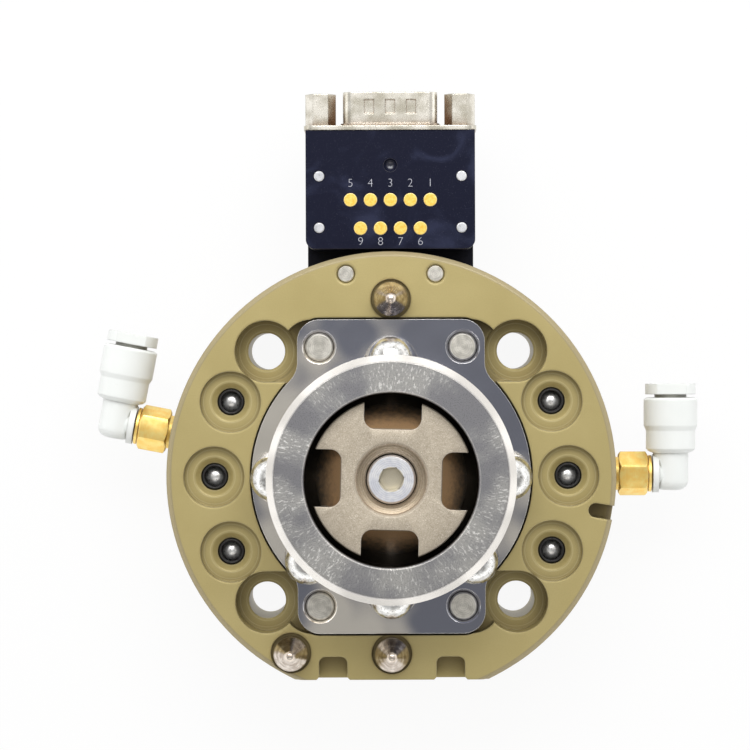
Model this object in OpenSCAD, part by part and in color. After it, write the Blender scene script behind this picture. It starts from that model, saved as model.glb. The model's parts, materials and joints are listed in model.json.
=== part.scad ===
// Robot side of a small pneumatic tool changer: a round body that bolts to a robot wrist,
// a ball lock worked by a spring and an air cylinder, six self-closing air ports, three
// locating pins and an electrical contact block with a nine-pole connector.
// Millimetres. The robot's mounting face is z = 0 and the tool is on the +Z side.

/* [Body] */
// Outer radius of the round body
body_r = 40; // [39.5:0.5:43]
// Thickness of the body between the robot face and the tool face
body_t = 22; // [21.5:0.5:26]
// Distance from the axis to the flat on the lower edge
flat_y = 36.1; // [35.8:0.1:37]
// Chamfer round both edges of the body
rim_chamfer = 0.7; // [0.3:0.1:1]
// Bevel that breaks each end of the flat
flat_bevel = 1.9; // [1:0.1:2.4]

/* [Robot interface] */
// Radius of the circle through the mounting holes and the face ports
bolt_circle_r = 31.5; // [31.2:0.1:32]
// Radius of a mounting hole
bolt_hole_r = 3.3; // [2.7:0.1:3.6]
// Radius of the counterbore over a mounting hole
bolt_head_r = 5.5; // [5:0.1:5.6]
// Depth of that counterbore below the tool face
bolt_head_depth = 6; // [5.5:0.5:9]
// Radius of the pilot boss that centres the body on the robot
pilot_r = 20; // [19.5:0.1:20.4]
// Height of the pilot boss below the robot face
pilot_h = 3; // [2.8:0.1:4]
// Radius of the dowel bore in the robot face
dowel_r = 3; // [2:0.5:3]
// Depth of the dowel bore
dowel_depth = 6; // [4:0.5:7]

/* [Lock cylinder] */
// Radius of the cylinder bore
bore_r = 17; // [16:0.1:17.3]
// Thickness of the web between the cylinder and the lock cage
web_t = 3; // [2.8:0.1:3.4]
// Stroke of the piston, from locked to released
stroke = 4; // [3.4:0.1:4.1]
// Thickness of the piston at its rim
piston_t = 5.5; // [5:0.1:5.6]
// Radius of the piston rod
rod_r = 6; // [5.5:0.1:6.5]
// Radius of the hub under the piston
hub_r = 8.4; // [7.8:0.1:8.8]
// Width of an O-ring groove
groove_w = 2; // [1.6:0.1:2]
// Depth of an O-ring groove
groove_d = 1.7; // [1.5:0.1:1.8]
// Radius of the lock spring, to the middle of its wire
spring_r = 10.8; // [10.4:0.1:11]
// Radius of the lock spring's wire
spring_wire_r = 0.8; // [0.5:0.1:0.8]
// Turns of the lock spring
spring_turns = 4; // [3:0.5:4]

/* [Lock cage] */
// Thickness of the cage flange, which lies flush in the tool face
flange_t = 5; // [4.6:0.1:5.2]
// Radius of the round part of the cage flange
flange_r = 24.8; // [24.6:0.1:25]
// Half the width of the flange's two screw pads
pad_half_w = 16.65; // [16.4:0.05:16.8]
// Half the length of the flange over both screw pads
pad_half_l = 27.9; // [27.6:0.1:28]
// Corner radius of the screw pads
pad_corner_r = 3.9; // [3:0.1:4.2]
// Radius of the hollow where a pad runs into the round part
pad_fillet_r = 4.5; // [4:0.1:5]
// Outer radius of the lock ring
ring_r = 21.7; // [21.5:0.1:21.9]
// Height of the lock ring above the tool face
ring_h = 18; // [17.5:0.1:20]
// Chamfer on the ring's outer edge
ring_chamfer = 1.3; // [0.8:0.1:1.5]
// Radius of the mouth of the ring
mouth_r = 15.07; // [14.9:0.01:15.4]
// Radius of the cavity inside the ring
cavity_r = 18.2; // [18.1:0.05:18.4]
// Height of the lip that closes the cavity round the mouth
lip_h = 6.5; // [5.5:0.1:6.8]
// Distance of each cage screw from the Y axis
cage_screw_x = 12.74; // [12.4:0.01:12.9]
// Distance of each cage screw from the X axis
cage_screw_y = 23.04; // [22.8:0.01:23.3]

/* [Lock balls] */
// Radius of a lock ball
ball_r = 3.97; // [3.8:0.01:4]
// Height of the ball centres above the tool face
ball_h = 7; // [6.6:0.1:7.4]
// Distance that a locked ball stands out of the ring
ball_out = 3.07; // [2.8:0.01:3.1]
// Radial clearance of a ball in its bore
ball_fit = 0.05; // [0.03:0.01:0.08]

/* [Cam] */
// Inward fall of the cam's cone for each millimetre of height
cam_slope = 0.858; // [0.84:0.002:0.87]
// Radius of the cam's foot
cam_foot_r = 17.9; // [17.7:0.05:18]
// Radius of the cam's head
cam_head_r = 14.23; // [14:0.01:14.4]
// Thickness of the cam's head
cam_head_t = 1.3; // [1:0.1:1.6]
// Height of the cam's top above the tool face
cam_h = 15.3; // [15.1:0.1:15.5]
// Width of each slot in the cam
slot_w = 10; // [9:0.1:10.4]
// Corner radius at the inner end of a cam slot
slot_corner_r = 2; // [1:0.1:2.4]
// Angle that the cam stands turned from square
cam_turn = -1.6; // [-3:0.1:3]
// Radius of the recess round the cam screw
cam_recess_r = 6.07; // [5.5:0.01:6.4]
// Depth of that recess
cam_recess_d = 2.6; // [1:0.1:2.8]

/* [Screws] */
// Radius of an M5 thread
m5_r = 2.5; // [2.4:0.05:2.6]
// Radius of an M5 screw head
m5_head_r = 4.25; // [4.1:0.05:4.3]
// Height of an M5 screw head
m5_head_h = 5; // [4.6:0.1:5]
// Width across the flats of an M5 screw's hexagon socket
m5_key = 4; // [3.8:0.1:4.2]
// Length of the cam screw under its head
cam_screw_l = 25; // [24:0.5:25]
// Radius of an M3 thread
m3_r = 1.5; // [1.4:0.05:1.6]
// Radius of an M3 screw head
m3_head_r = 2.75; // [2.5:0.05:2.9]
// Radial gap between a screw and its thread
thread_fit = 0.02; // [0.01:0.01:0.03]

/* [Locating pins] */
// Radius of a locating pin
pin_r = 3; // [2.8:0.05:3.1]
// Radius of the pin's shank, pressed into the body
pin_shank_r = 2; // [1.8:0.1:2.3]
// Height of a pin above the tool face
pin_h = 8; // [7:0.5:10]
// Straight length of a pin above the tool face
pin_straight = 3; // [2:0.5:4]
// Radius of the rounded tip of a pin
pin_tip_r = 1.1; // [0.8:0.1:1.3]
// Gap round a pin's head
pin_gap = 0.6; // [0.57:0.01:0.65]
// Depth of the recess round a pin
pin_recess = 1; // [0.8:0.1:1.2]
// Depth of a pin's shank below that recess
pin_depth = 9; // [8:0.5:9.5]

/* [Air ports] */
// Angle between neighbouring face ports
port_pitch = 25; // [24.8:0.1:25.4]
// Radius of the dish round a face port
dish_r = 5.43; // [5:0.01:5.5]
// Depth of the dish
dish_d = 1.6; // [1.2:0.1:2]
// Radius of the countersink inside the dish
sink_r = 3.46; // [3.2:0.01:3.7]
// Radius of a face port's bore
port_r = 2.43; // [2.4:0.01:2.5]
// Radius of the hole through a port's rubber seal
seal_hole_r = 1.8; // [1.7:0.01:1.85]
// Height of a port's rubber seal
seal_h = 2.1; // [1.8:0.1:2.3]
// Radius of a port's closing ball
valve_ball_r = 1.95; // [1.92:0.01:2]
// Travel of a port's closing ball
valve_travel = 1; // [0.6:0.1:1.2]
// Radius of the tapped side ports
side_port_r = 2.1; // [2.05:0.01:2.15]
// Depth of a tapped side port
side_port_d = 6; // [5:0.1:6]
// Radius of the flat face round each side port
port_face_r = 4.2; // [4:0.05:4.35]
// Depth of that flat face in from the rim
port_face_d = 0.25; // [0.24:0.01:0.4]
// Height of the side ports and fittings above the robot face
side_port_z = 11; // [10.5:0.1:11.2]
// Radius of the drillings between the ports
drill_r = 1.2; // [1:0.1:1.3]
// Angle of the fitting that feeds the lock cylinder
lock_port_angle = 169; // [168:0.5:170]

/* [Edge cuts] */
// Width of the two notches in the flat
notch_w = 5.06; // [4:0.02:5.4]
// Depth of the notches in from the flat
notch_d = 4.1; // [3:0.1:4.5]
// Distance of each notch from the Y axis
notch_x = 10.45; // [10:0.05:10.8]
// Corner radius of the notches
notch_corner_r = 1.2; // [0.8:0.1:1.6]
// Depth of the notches below the tool face
notch_t = 4.4; // [3:0.1:5]
// Width of the slot in the rim
rim_slot_w = 2.56; // [2:0.02:3]
// Radius at which the rim slot begins
rim_slot_r = 35.5; // [35:0.1:36.5]
// Angle of the rim slot
rim_slot_angle = -9.6; // [-10:0.1:-9.2]
// Depth of the rim slot below the tool face
rim_slot_t = 5; // [3:0.1:5.5]

/* [Contact block] */
// Half the width of the contact block
block_half_w = 15.1; // [15:0.1:16]
// Gap between the contact block and the body's rim
block_gap = 0.5; // [0.4:0.1:1]
// Length of the contact block
block_l = 21.2; // [21:0.1:24]
// Drop from the tool face to the face of the block
block_drop = 2; // [1.5:0.1:3]
// Height of the contact block
block_t = 12; // [11.6:0.1:12]
// Corner radius of the block, towards the body
block_corner_r = 1.7; // [1:0.1:2]
// Radius of a gold contact pad
pad_r = 1.18; // [1:0.01:1.3]
// Distance between neighbouring pads of one row
pad_pitch = 3.556; // [3.4:0.002:3.6]
// Distance between the two rows of pads
pad_row = 5.06; // [4.8:0.01:5.3]
// Distance of the lower row from the block's near edge
pad_y = 3.67; // [3.4:0.01:4]
// Radius of a block rivet
rivet_r = 0.9; // [0.7:0.05:1]
// Distance of the rivets from the Y axis
rivet_x = 12.7; // [12.4:0.1:13]

/* [Bracket] */
// Thickness of the bracket under the block
bracket_t = 5; // [4.6:0.1:5.4]
// Half the width of the bracket
bracket_half_w = 15; // [14.8:0.1:15.2]
// Distance of each bracket screw from the Y axis
bracket_screw_x = 7.95; // [7.6:0.05:8.2]
// Distance of the bracket screws in from the body's rim
bracket_screw_in = 4; // [3.8:0.1:4.1]
// Length that the bracket reaches in under the rim
bracket_reach = 6.4; // [6:0.1:6.6]

/* [Connector] */
// Width of the connector flange
dsub_flange_w = 30.8; // [30:0.1:31.2]
// Height of the connector flange
dsub_flange_h = 12.5; // [12.2:0.1:12.8]
// Thickness of the connector flange
dsub_flange_t = 0.8; // [0.6:0.1:1]
// Width of the connector shell on its wide side
dsub_w = 16.92; // [16.6:0.02:17.2]
// Height of the connector shell
dsub_h = 8.36; // [8.2:0.02:8.5]
// Depth of the connector shell in front of its flange
dsub_depth = 6.1; // [5.5:0.1:6.5]
// Wall of the connector shell
dsub_wall = 0.45; // [0.35:0.05:0.5]
// Distance between neighbouring poles of one row
pole_pitch = 2.77; // [2.7:0.01:2.8]
// Distance between the two rows of poles
pole_row = 2.84; // [2.7:0.01:3]
// Radius of a pole
pole_r = 0.5; // [0.4:0.02:0.52]
// Distance between the two jack posts
jack_pitch = 24.99; // [24.7:0.01:25.2]
// Width across the flats of a jack post
jack_af = 4.75; // [4.5:0.05:4.9]

/* [Fittings] */
// Width across the flats of a fitting's hexagon
hex_af = 8; // [7.5:0.1:8]
// Distance from the rim to the far end of the hexagon
hex_end = 6.2; // [6:0.1:6.3]
// Distance from the rim to the tube's axis
elbow_x = 10.5; // [10.5:0.1:11]
// Radius of the elbow's foot
elbow_foot_r = 3.2; // [3:0.05:3.3]
// Radius of the elbow's barrel
barrel_r = 4.85; // [4.6:0.05:4.9]
// Length of the elbow from the fitting's axis to its mouth
elbow_l = 13.7; // [13.5:0.1:15]
// Radius of the tube that the elbow takes
tube_r = 2; // [1.95:0.01:2.02]
// Radial gap round the tube
tube_fit = 0.05; // [0.03:0.01:0.08]
// Radius of the release button
button_r = 4.55; // [4.3:0.05:4.7]
// Half the width of the release button across its flat sides
button_half_w = 3.7; // [3.5:0.1:4]
// Height of the release button's head
button_h = 1.9; // [1.5:0.1:2.2]
// Gap between the release button and the barrel
button_gap = 0.6; // [0.55:0.05:0.8]
// Radius of the journal on which the elbow swivels
journal_r = 1.9; // [1.8:0.05:1.95]

/* [Fits] */
// Radial clearance of a part that slides or turns
run_fit = 0.05; // [0.03:0.01:0.08]
// Clearance round a part that is seated and doesn't move
seat_fit = 0.03; // [0.02:0.01:0.05]
// Gap between the cage flange and the wall of its pocket
pocket_gap = 0.35; // [0.25:0.05:0.4]
// Gap left at the end of a travel
end_gap = 0.3; // [0.2:0.05:0.3]

/* [Hidden] */

round_fn = 96;   // big turned faces
small_fn = 48;   // screws, pins and drillings
eps = 0.01;      // lets a cut run clear of the face that it opens

// Heights
face_z = body_t;
pocket_z = face_z - flange_t;
cylinder_top = pocket_z - web_t;
piston_top = cylinder_top - end_gap;
piston_foot = piston_top - piston_t;
ball_z = face_z + ball_h;
cam_top = face_z + cam_h;
ring_top = face_z + ring_h;
cavity_top = ring_top - lip_h;
cage_seat_z = 6;
web_seal_z = cylinder_top + 0.5;
air_groove_h = 1.6;
air_groove_d = 1.2;
section_rod = (groove_d - run_fit) / 2;

// Retaining ring and cover in the mouth of the cylinder
ring_wall = 1.1;
snap_t = 1.2;
snap_d = 0.9;
snap_z = -pilot_h + ring_wall;
cover_z = snap_z + snap_t;
cover_top = piston_foot - stroke - 1;
spring_floor = cover_z + 1.4;
vent_r = 0.8;
spring_ceiling = piston_top - 1.5;
spring_pocket_r = spring_r + spring_wire_r + 0.8;

// Places of the balls, screws and ports
ball_angles = [0, 90, 180, 225, 270, 315];
ball_place_r = ring_r + ball_out - ball_r;
bolt_angles = [45, 135, 225, 315];
port_angles = [0, port_pitch, -port_pitch, 180, 180 - port_pitch, 180 + port_pitch];
open_side_angles = [port_pitch, -port_pitch, 180, 180 - port_pitch, 180 + port_pitch];
bolt_x = bolt_circle_r * cos(45);
offset_pin_r = 36.05;
offset_pin_angle = 240.2;

// Cam: where the cone's slope would reach the height of the cam's top
ball_gap = 0.04;
cam_neck_r = ball_place_r - ball_r - stroke * cam_slope - 0.25;
cam_cut_x = ball_place_r - (ball_r + ball_gap) * sqrt(1 + cam_slope * cam_slope)
  - cam_slope * (cam_top - ball_z);
cam_z = face_z + 2;
cone_low_z = cam_top - (cam_foot_r - cam_cut_x) / cam_slope;
cone_high_z = cam_top - (cam_neck_r - cam_cut_x) / cam_slope;
cam_seat_d = 6.3;
cam_seat_z = cam_top - cam_seat_d;
cam_clear = 0.2;
head_clear = 0.25;
spigot_r = 4;
spigot_h = 1.2;

// Face ports
dish_z = face_z - dish_d;
seal_top = dish_z - (sink_r - port_r) - 0.1;
seal_z = seal_top - seal_h;
valve_z = seal_z - sqrt(valve_ball_r * valve_ball_r - seal_hole_r * seal_hole_r) - ball_gap;
valve_foot = valve_z - valve_ball_r;
port_floor = valve_foot - valve_travel - 0.9;

// Contact block and connector
block_top = face_z - block_drop;
block_z = block_top - block_t;
block_y = body_r + block_gap;
block_end = block_y + block_l;
bracket_z = block_z - bracket_t;
bracket_seat = bracket_z + 3.2;
dsub_z = block_z + block_t / 2;
dsub_front = block_end + dsub_flange_t;
dsub_end = dsub_front + dsub_depth;
pad_lower_y = block_y + pad_y;
pad_upper_y = pad_lower_y + pad_row;
cavity_depth = 4.5;
pad_depth = 4;

// Fittings, drawn on +X at the height of the side ports
hex_start = 1;
elbow_start = elbow_x - elbow_foot_r - 0.15;
stem_end = elbow_start - 0.25;
journal_end = elbow_x - drill_r - 0.1;
collar_r = 4.45;
collar_y = 4;
collar_end = 7.75;
tube_bore_r = tube_r + tube_fit;
stop_y = 5.6;
seal_y = collar_end;
latch_y = 10.6;
sleeve_r = 2.9;
latch_r = 3.3;

// A cylinder along +X that starts at [x, 0, 0]
module rod_x(x, length, r, fn = small_fn) {
  translate([x, 0, 0]) rotate([0, 90, 0]) cylinder(r = r, h = length, $fn = fn);
}

// A cylinder along +Y that starts at [0, y, 0]
module rod_y(y, length, r, fn = small_fn) {
  translate([0, y, 0]) rotate([-90, 0, 0]) cylinder(r = r, h = length, $fn = fn);
}

// A flat ring of rectangular section
module washer(z, h, inner, outer) {
  translate([0, 0, z]) difference() {
    cylinder(r = outer, h = h, $fn = round_fn);
    translate([0, 0, -eps]) cylinder(r = inner, h = h + 2 * eps, $fn = round_fn);
  }
}

// An O-ring of round section
module o_ring(z, r, section_r) {
  translate([0, 0, z]) rotate_extrude($fn = round_fn)
    translate([r, 0]) circle(r = section_r, $fn = 24);
}

// A rectangle with true round corners, centred on the origin
module rounded_rectangle(w, l, r) {
  square([w - 2 * r, l], center = true);
  square([w, l - 2 * r], center = true);
  for (sx = [-1, 1], sy = [-1, 1])
    translate([sx * (w / 2 - r), sy * (l / 2 - r)]) circle(r = r, $fn = small_fn);
}

// A socket-head screw with its head on top and its tip down, seated at z = 0
module socket_screw(thread_r, head_r, head_h, key, length, tip) {
  difference() {
    union() {
      cylinder(r = head_r, h = head_h - 0.3, $fn = small_fn);
      translate([0, 0, head_h - 0.3])
        cylinder(r1 = head_r, r2 = head_r - 0.3, h = 0.3, $fn = small_fn);
      translate([0, 0, tip - length]) cylinder(r = thread_r, h = length - tip, $fn = small_fn);
      translate([0, 0, -length])
        cylinder(r1 = thread_r - tip, r2 = thread_r, h = tip, $fn = small_fn);
    }
    translate([0, 0, head_h * 0.45])
      cylinder(r = key / sqrt(3), h = head_h, $fn = 6);
  }
}

// The points of a coil spring's wire, swept from z0 to z1
function coil_point(t, r, z0, z1, turns) =
  [r * cos(360 * turns * t), r * sin(360 * turns * t), z0 + (z1 - z0) * t];

module coil_spring(r, wire, z0, z1, turns, steps, sides) {
  rings = ceil(turns * steps);
  low = z0 + wire + ball_gap;
  high = z1 - wire - ball_gap;
  points = [for (i = [0:rings], j = [0:sides - 1])
    let (c = coil_point(i / rings, r, low, high, turns), a = 360 * turns * i / rings,
      b = 360 * j / sides, out = r + wire * cos(b))
    [out * cos(a), out * sin(a), c[2] + wire * sin(b)]];
  walls = [for (i = [0:rings - 1], j = [0:sides - 1])
    let (k = (j + 1) % sides)
    [i * sides + j, (i + 1) * sides + j, (i + 1) * sides + k, i * sides + k]];
  start = [for (j = [0:sides - 1]) j];
  finish = [for (j = [sides - 1:-1:0]) rings * sides + j];
  polyhedron(points = points, faces = concat([start], walls, [finish]), convexity = 10);
}

// Outline of the cage flange; grow enlarges it all round
module flange_outline(grow = 0) {
  r = flange_r + grow;
  w = pad_half_w + grow;
  f = pad_fillet_r - grow;
  cx = w + f;
  cy = sqrt((r + f) * (r + f) - cx * cx);
  circle(r = r, $fn = round_fn);
  rounded_rectangle(2 * w, 2 * (pad_half_l + grow), pad_corner_r + grow);
  for (sx = [-1, 1], sy = [-1, 1]) scale([sx, sy]) difference() {
    polygon([[w - 1, cy], [cx, cy], [cx * r / (r + f), cy * r / (r + f)], [w - 1, 0]]);
    translate([cx, cy]) circle(r = f, $fn = small_fn);
  }
}

module at_bolts() {
  for (a = bolt_angles) rotate(a) translate([bolt_circle_r, 0, 0]) children();
}

module at_cage_screws() {
  for (sx = [-1, 1], sy = [-1, 1])
    translate([sx * cage_screw_x, sy * cage_screw_y, 0]) children();
}

module at_bracket_screws() {
  for (s = [-1, 1]) translate([s * bracket_screw_x, body_r - bracket_screw_in, 0]) children();
}

module at_offset_pin() {
  rotate(offset_pin_angle) translate([offset_pin_r, 0, 0]) children();
}

module at_port(a) {
  rotate(a) translate([bolt_circle_r, 0, 0]) children();
}

// Pocket in the tool face for the cage flange, with relief to the mounting counterbores
module pocket_cut() {
  relief_r = 5.3;
  translate([0, 0, pocket_z]) linear_extrude(flange_t + eps) {
    flange_outline(pocket_gap);
    for (sx = [-1, 1], sy = [-1, 1]) scale([sx, sy]) {
      translate([pad_half_w - 2.5, pad_half_l - relief_r]) circle(r = relief_r, $fn = small_fn);
      translate([pad_half_w - 3, bolt_x - bolt_head_r])
        square([bolt_x - pad_half_w + 3, bolt_head_r]);
    }
  }
}

module face_port_cut() {
  translate([0, 0, dish_z]) cylinder(r = dish_r, h = dish_d + eps, $fn = small_fn);
  translate([0, 0, dish_z - (sink_r - port_r)])
    cylinder(r1 = port_r, r2 = sink_r, h = sink_r - port_r + eps, $fn = small_fn);
  translate([0, 0, port_floor]) cylinder(r = port_r, h = dish_z - port_floor, $fn = small_fn);
  translate([0, 0, side_port_z - drill_r])
    cylinder(r = drill_r, h = port_floor - side_port_z + drill_r + eps, $fn = small_fn);
}

// A tapped side port with the flat face that a fitting seats on
module side_port_cut() {
  translate([0, 0, side_port_z]) {
    rod_x(body_r - side_port_d, side_port_d + 1, side_port_r);
    rod_x(body_r - port_face_d, port_face_d + 1, port_face_r);
  }
}

module notch_cut() {
  flare = 0.45;
  inner_y = flat_y - notch_d;
  translate([0, 0, face_z - notch_t]) linear_extrude(notch_t + 1) {
    for (s = [-1, 1]) translate([s * (notch_w / 2 - notch_corner_r), -inner_y - notch_corner_r])
      circle(r = notch_corner_r, $fn = small_fn);
    translate([-(notch_w / 2 - notch_corner_r), -flat_y - 2])
      square([notch_w - 2 * notch_corner_r, notch_d + 2]);
    translate([-notch_w / 2, -flat_y - 2]) square([notch_w, notch_d + 2 - notch_corner_r]);
    polygon([[-notch_w / 2, -flat_y + flare], [notch_w / 2, -flat_y + flare],
      [notch_w / 2 + 2 * flare, -flat_y - flare], [-notch_w / 2 - 2 * flare, -flat_y - flare]]);
  }
}

module rim_slot_cut() {
  rotate(rim_slot_angle) translate([0, 0, face_z - rim_slot_t]) {
    translate([rim_slot_r + rim_slot_w / 2, 0, 0])
      cylinder(r = rim_slot_w / 2, h = rim_slot_t + 1, $fn = small_fn);
    translate([rim_slot_r + rim_slot_w / 2, -rim_slot_w / 2, 0])
      cube([body_r - rim_slot_r, rim_slot_w, rim_slot_t + 1]);
  }
}

// Sloping bevel at one end of the flat, on the tool face only
module flat_bevel_cut() {
  turn = 28;
  tilt = 50;
  reach = 20;
  corner_x = sqrt(body_r * body_r - flat_y * flat_y);
  translate([corner_x, -flat_y, face_z]) rotate([0, 0, turn]) rotate([tilt, 0, 0])
    translate([-reach / 2, -reach, -flat_bevel * 0.42]) cube([reach, reach, reach / 2]);
}

module body_blank() {
  c = rim_chamfer;
  rotate_extrude($fn = round_fn) polygon([[0, -pilot_h], [pilot_r - 0.5, -pilot_h],
    [pilot_r, -pilot_h + 0.5], [pilot_r, 0], [body_r - c, 0], [body_r, c],
    [body_r, body_t - c], [body_r - c, body_t], [0, body_t]]);
}

module cylinder_cut() {
  groove_top = web_seal_z + groove_w;
  rotate_extrude($fn = round_fn) polygon([[0, -pilot_h - 1], [bore_r, -pilot_h - 1],
    [bore_r, snap_z], [bore_r + snap_d, snap_z], [bore_r + snap_d, snap_z + snap_t],
    [bore_r, snap_z + snap_t], [bore_r, cylinder_top - air_groove_h],
    [bore_r + air_groove_d, cylinder_top - air_groove_h], [bore_r + air_groove_d, cylinder_top],
    [rod_r + run_fit, cylinder_top],
    [rod_r + run_fit, web_seal_z], [rod_r + groove_d, web_seal_z],
    [rod_r + groove_d, groove_top], [rod_r + run_fit, groove_top],
    [rod_r + run_fit, pocket_z + 1], [0, pocket_z + 1]]);
}

module body() {
  color("#b4a878") difference() {
    body_blank();
    translate([-body_r, -2 * body_r - flat_y, -eps]) cube([2 * body_r, 2 * body_r, body_t + 1]);
    for (s = [0, 1]) mirror([s, 0, 0]) flat_bevel_cut();
    pocket_cut();
    cylinder_cut();
    at_bolts() {
      translate([0, 0, -eps]) cylinder(r = bolt_hole_r, h = body_t, $fn = small_fn);
      translate([0, 0, face_z - bolt_head_depth])
        cylinder(r = bolt_head_r, h = bolt_head_depth + 1, $fn = small_fn);
    }
    at_cage_screws() {
      translate([0, 0, -eps]) cylinder(r = m5_head_r + 0.25, h = cage_seat_z, $fn = small_fn);
      cylinder(r = m5_r + 0.25, h = body_t, $fn = small_fn);
    }
    translate([0, -bolt_circle_r, -eps]) cylinder(r = dowel_r, h = dowel_depth, $fn = small_fn);
    translate([0, bolt_circle_r, 0]) pin_bore();
    translate([0, -bolt_circle_r, 0]) pin_bore();
    at_offset_pin() pin_bore();
    for (a = port_angles) at_port(a) face_port_cut();
    for (a = open_side_angles) rotate(a) side_port_cut();
    rotate(0) side_port_cut();
    rotate(lock_port_angle) side_port_cut();
    for (a = port_angles) rotate(a) translate([0, 0, side_port_z])
      rod_x(bolt_circle_r, body_r - bolt_circle_r - side_port_d + 1, drill_r);
    lock_air_cut();
    for (s = [-1, 1]) translate([s * notch_x, 0, 0]) notch_cut();
    rim_slot_cut();
    translate([-bracket_half_w - 0.3, body_r - bracket_reach - 0.3, -1])
      cube([2 * bracket_half_w + 0.6, body_r, block_z + 1]);
    at_bracket_screws() {
      cylinder(r = m3_r + thread_fit, h = body_t + 1, $fn = small_fn);
      translate([0, 0, face_z - 0.4]) cylinder(r1 = m3_r, r2 = m3_r + 0.4, h = 0.41,
        $fn = small_fn);
    }
  }
}

// Sloping drilling from the left fitting up to the groove at the top of the cylinder
module lock_air_cut() {
  start_r = body_r - side_port_d + 2;
  end_r = bore_r + 0.5;
  rise = cylinder_top - air_groove_h / 2 - side_port_z;
  run = start_r - end_r;
  rotate(lock_port_angle) translate([start_r, 0, side_port_z]) rotate([0, -90 + atan2(rise, run), 0])
    cylinder(r = drill_r, h = sqrt(run * run + rise * rise), $fn = small_fn);
}

module pin_bore() {
  translate([0, 0, face_z - pin_recess - pin_depth])
    cylinder(r = pin_shank_r + seat_fit, h = pin_depth + 1, $fn = small_fn);
  translate([0, 0, face_z - pin_recess])
    cylinder(r = pin_r + pin_gap, h = pin_recess + 1, $fn = small_fn);
}

// Radial bore for a ball, drawn in to the ball's size at the mouth so that it can't fall out
module ball_bore() {
  bore = ball_r + ball_fit;
  rod_x(cavity_r - 2, ball_place_r - cavity_r + 2, bore);
  translate([ball_place_r, 0, 0]) rotate([0, 90, 0])
    cylinder(r1 = bore, r2 = ball_r - 0.04, h = ring_r - ball_place_r + 0.2, $fn = small_fn);
}

module lock_cage() {
  relief_r = 4.83;
  relief_place_r = 20;
  relief_t = 2.5;
  color("#a7a5a2") difference() {
    union() {
      difference() {
        translate([0, 0, pocket_z]) linear_extrude(flange_t) flange_outline();
        for (a = ball_angles) rotate(a) translate([relief_place_r, 0, face_z - relief_t])
          cylinder(r = relief_r, h = relief_t + 1, $fn = small_fn);
      }
      translate([0, 0, pocket_z]) cylinder(r = ring_r, h = ring_top - ring_chamfer - pocket_z,
        $fn = round_fn);
      translate([0, 0, ring_top - ring_chamfer])
        cylinder(r1 = ring_r, r2 = ring_r - ring_chamfer, h = ring_chamfer, $fn = round_fn);
    }
    translate([0, 0, pocket_z - 1])
      cylinder(r = cavity_r, h = cavity_top - pocket_z + 1, $fn = round_fn);
    cylinder(r = mouth_r, h = ring_top + 1, $fn = round_fn);
    translate([0, 0, ring_top - 0.35]) cylinder(r1 = mouth_r, r2 = mouth_r + 0.36, h = 0.36,
      $fn = round_fn);
    for (a = ball_angles) rotate(a) translate([0, 0, ball_z]) ball_bore();
    at_cage_screws() {
      cylinder(r = m5_r + thread_fit, h = body_t + 1, $fn = small_fn);
      translate([0, 0, face_z - 0.55]) cylinder(r1 = m5_r, r2 = m5_r + 0.56, h = 0.56,
        $fn = small_fn);
    }
  }
}

module cage_screws() {
  length = face_z - 0.1 - cage_seat_z;
  color("#8f8f92") at_cage_screws() translate([0, 0, cage_seat_z]) mirror([0, 0, 1])
    socket_screw(m5_r, m5_head_r, m5_head_h, m5_key, length, 0.3);
}

module lock_ball(i) {
  color("#dcdde0") rotate(ball_angles[i]) translate([ball_place_r, 0, ball_z])
    sphere(r = ball_r, $fn = small_fn);
}
module lock_ball_1() { lock_ball(0); }
module lock_ball_2() { lock_ball(1); }
module lock_ball_3() { lock_ball(2); }
module lock_ball_4() { lock_ball(3); }
module lock_ball_5() { lock_ball(4); }
module lock_ball_6() { lock_ball(5); }

// Wedge slot in the cam: its floor lies on the same slope as the cone
module cam_slot() {
  beyond = 20;
  floor_x = cam_foot_r + 2;
  floor_z = cam_top - (floor_x - cam_cut_x) / cam_slope;
  difference() {
    union() {
      translate([cam_cut_x - 1 + slot_corner_r, -slot_w / 2, cam_z])
        cube([floor_x, slot_w, cam_top - cam_z + 1]);
      translate([cam_cut_x - 1, -slot_w / 2 + slot_corner_r, cam_z])
        cube([floor_x, slot_w - 2 * slot_corner_r, cam_top - cam_z + 1]);
      for (s = [-1, 1])
        translate([cam_cut_x - 1 + slot_corner_r, s * (slot_w / 2 - slot_corner_r), cam_z])
          cylinder(r = slot_corner_r, h = cam_top - cam_z + 1, $fn = small_fn);
    }
    rotate([90, 0, 0]) translate([0, 0, -slot_w]) linear_extrude(2 * slot_w)
      polygon([[0, cam_z - 1], [0, cam_top + cam_cut_x / cam_slope], [floor_x, floor_z],
        [floor_x + beyond, floor_z - beyond], [floor_x + beyond, cam_z - beyond]]);
  }
}

module cam() {
  color("#b9aea0") rotate(cam_turn) difference() {
    rotate_extrude($fn = round_fn) polygon([
      [m5_r + cam_clear, piston_top - spigot_h], [spigot_r, piston_top - spigot_h],
      [spigot_r, piston_top], [rod_r, piston_top], [rod_r, cam_z],
      [cam_foot_r, cam_z], [cam_foot_r, cone_low_z], [cam_neck_r, cone_high_z],
      [cam_neck_r, cam_top - cam_head_t - (cam_head_r - cam_neck_r)],
      [cam_head_r, cam_top - cam_head_t], [cam_head_r, cam_top - 0.25],
      [cam_head_r - 0.25, cam_top], [cam_recess_r + 0.6, cam_top],
      [cam_recess_r, cam_top - 0.5], [cam_recess_r, cam_top - cam_recess_d],
      [m5_head_r + head_clear, cam_top - cam_recess_d - 0.3],
      [m5_head_r + head_clear, cam_seat_z], [m5_r + cam_clear, cam_seat_z]]);
    for (a = [0:90:270]) rotate(a) cam_slot();
  }
}

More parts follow.
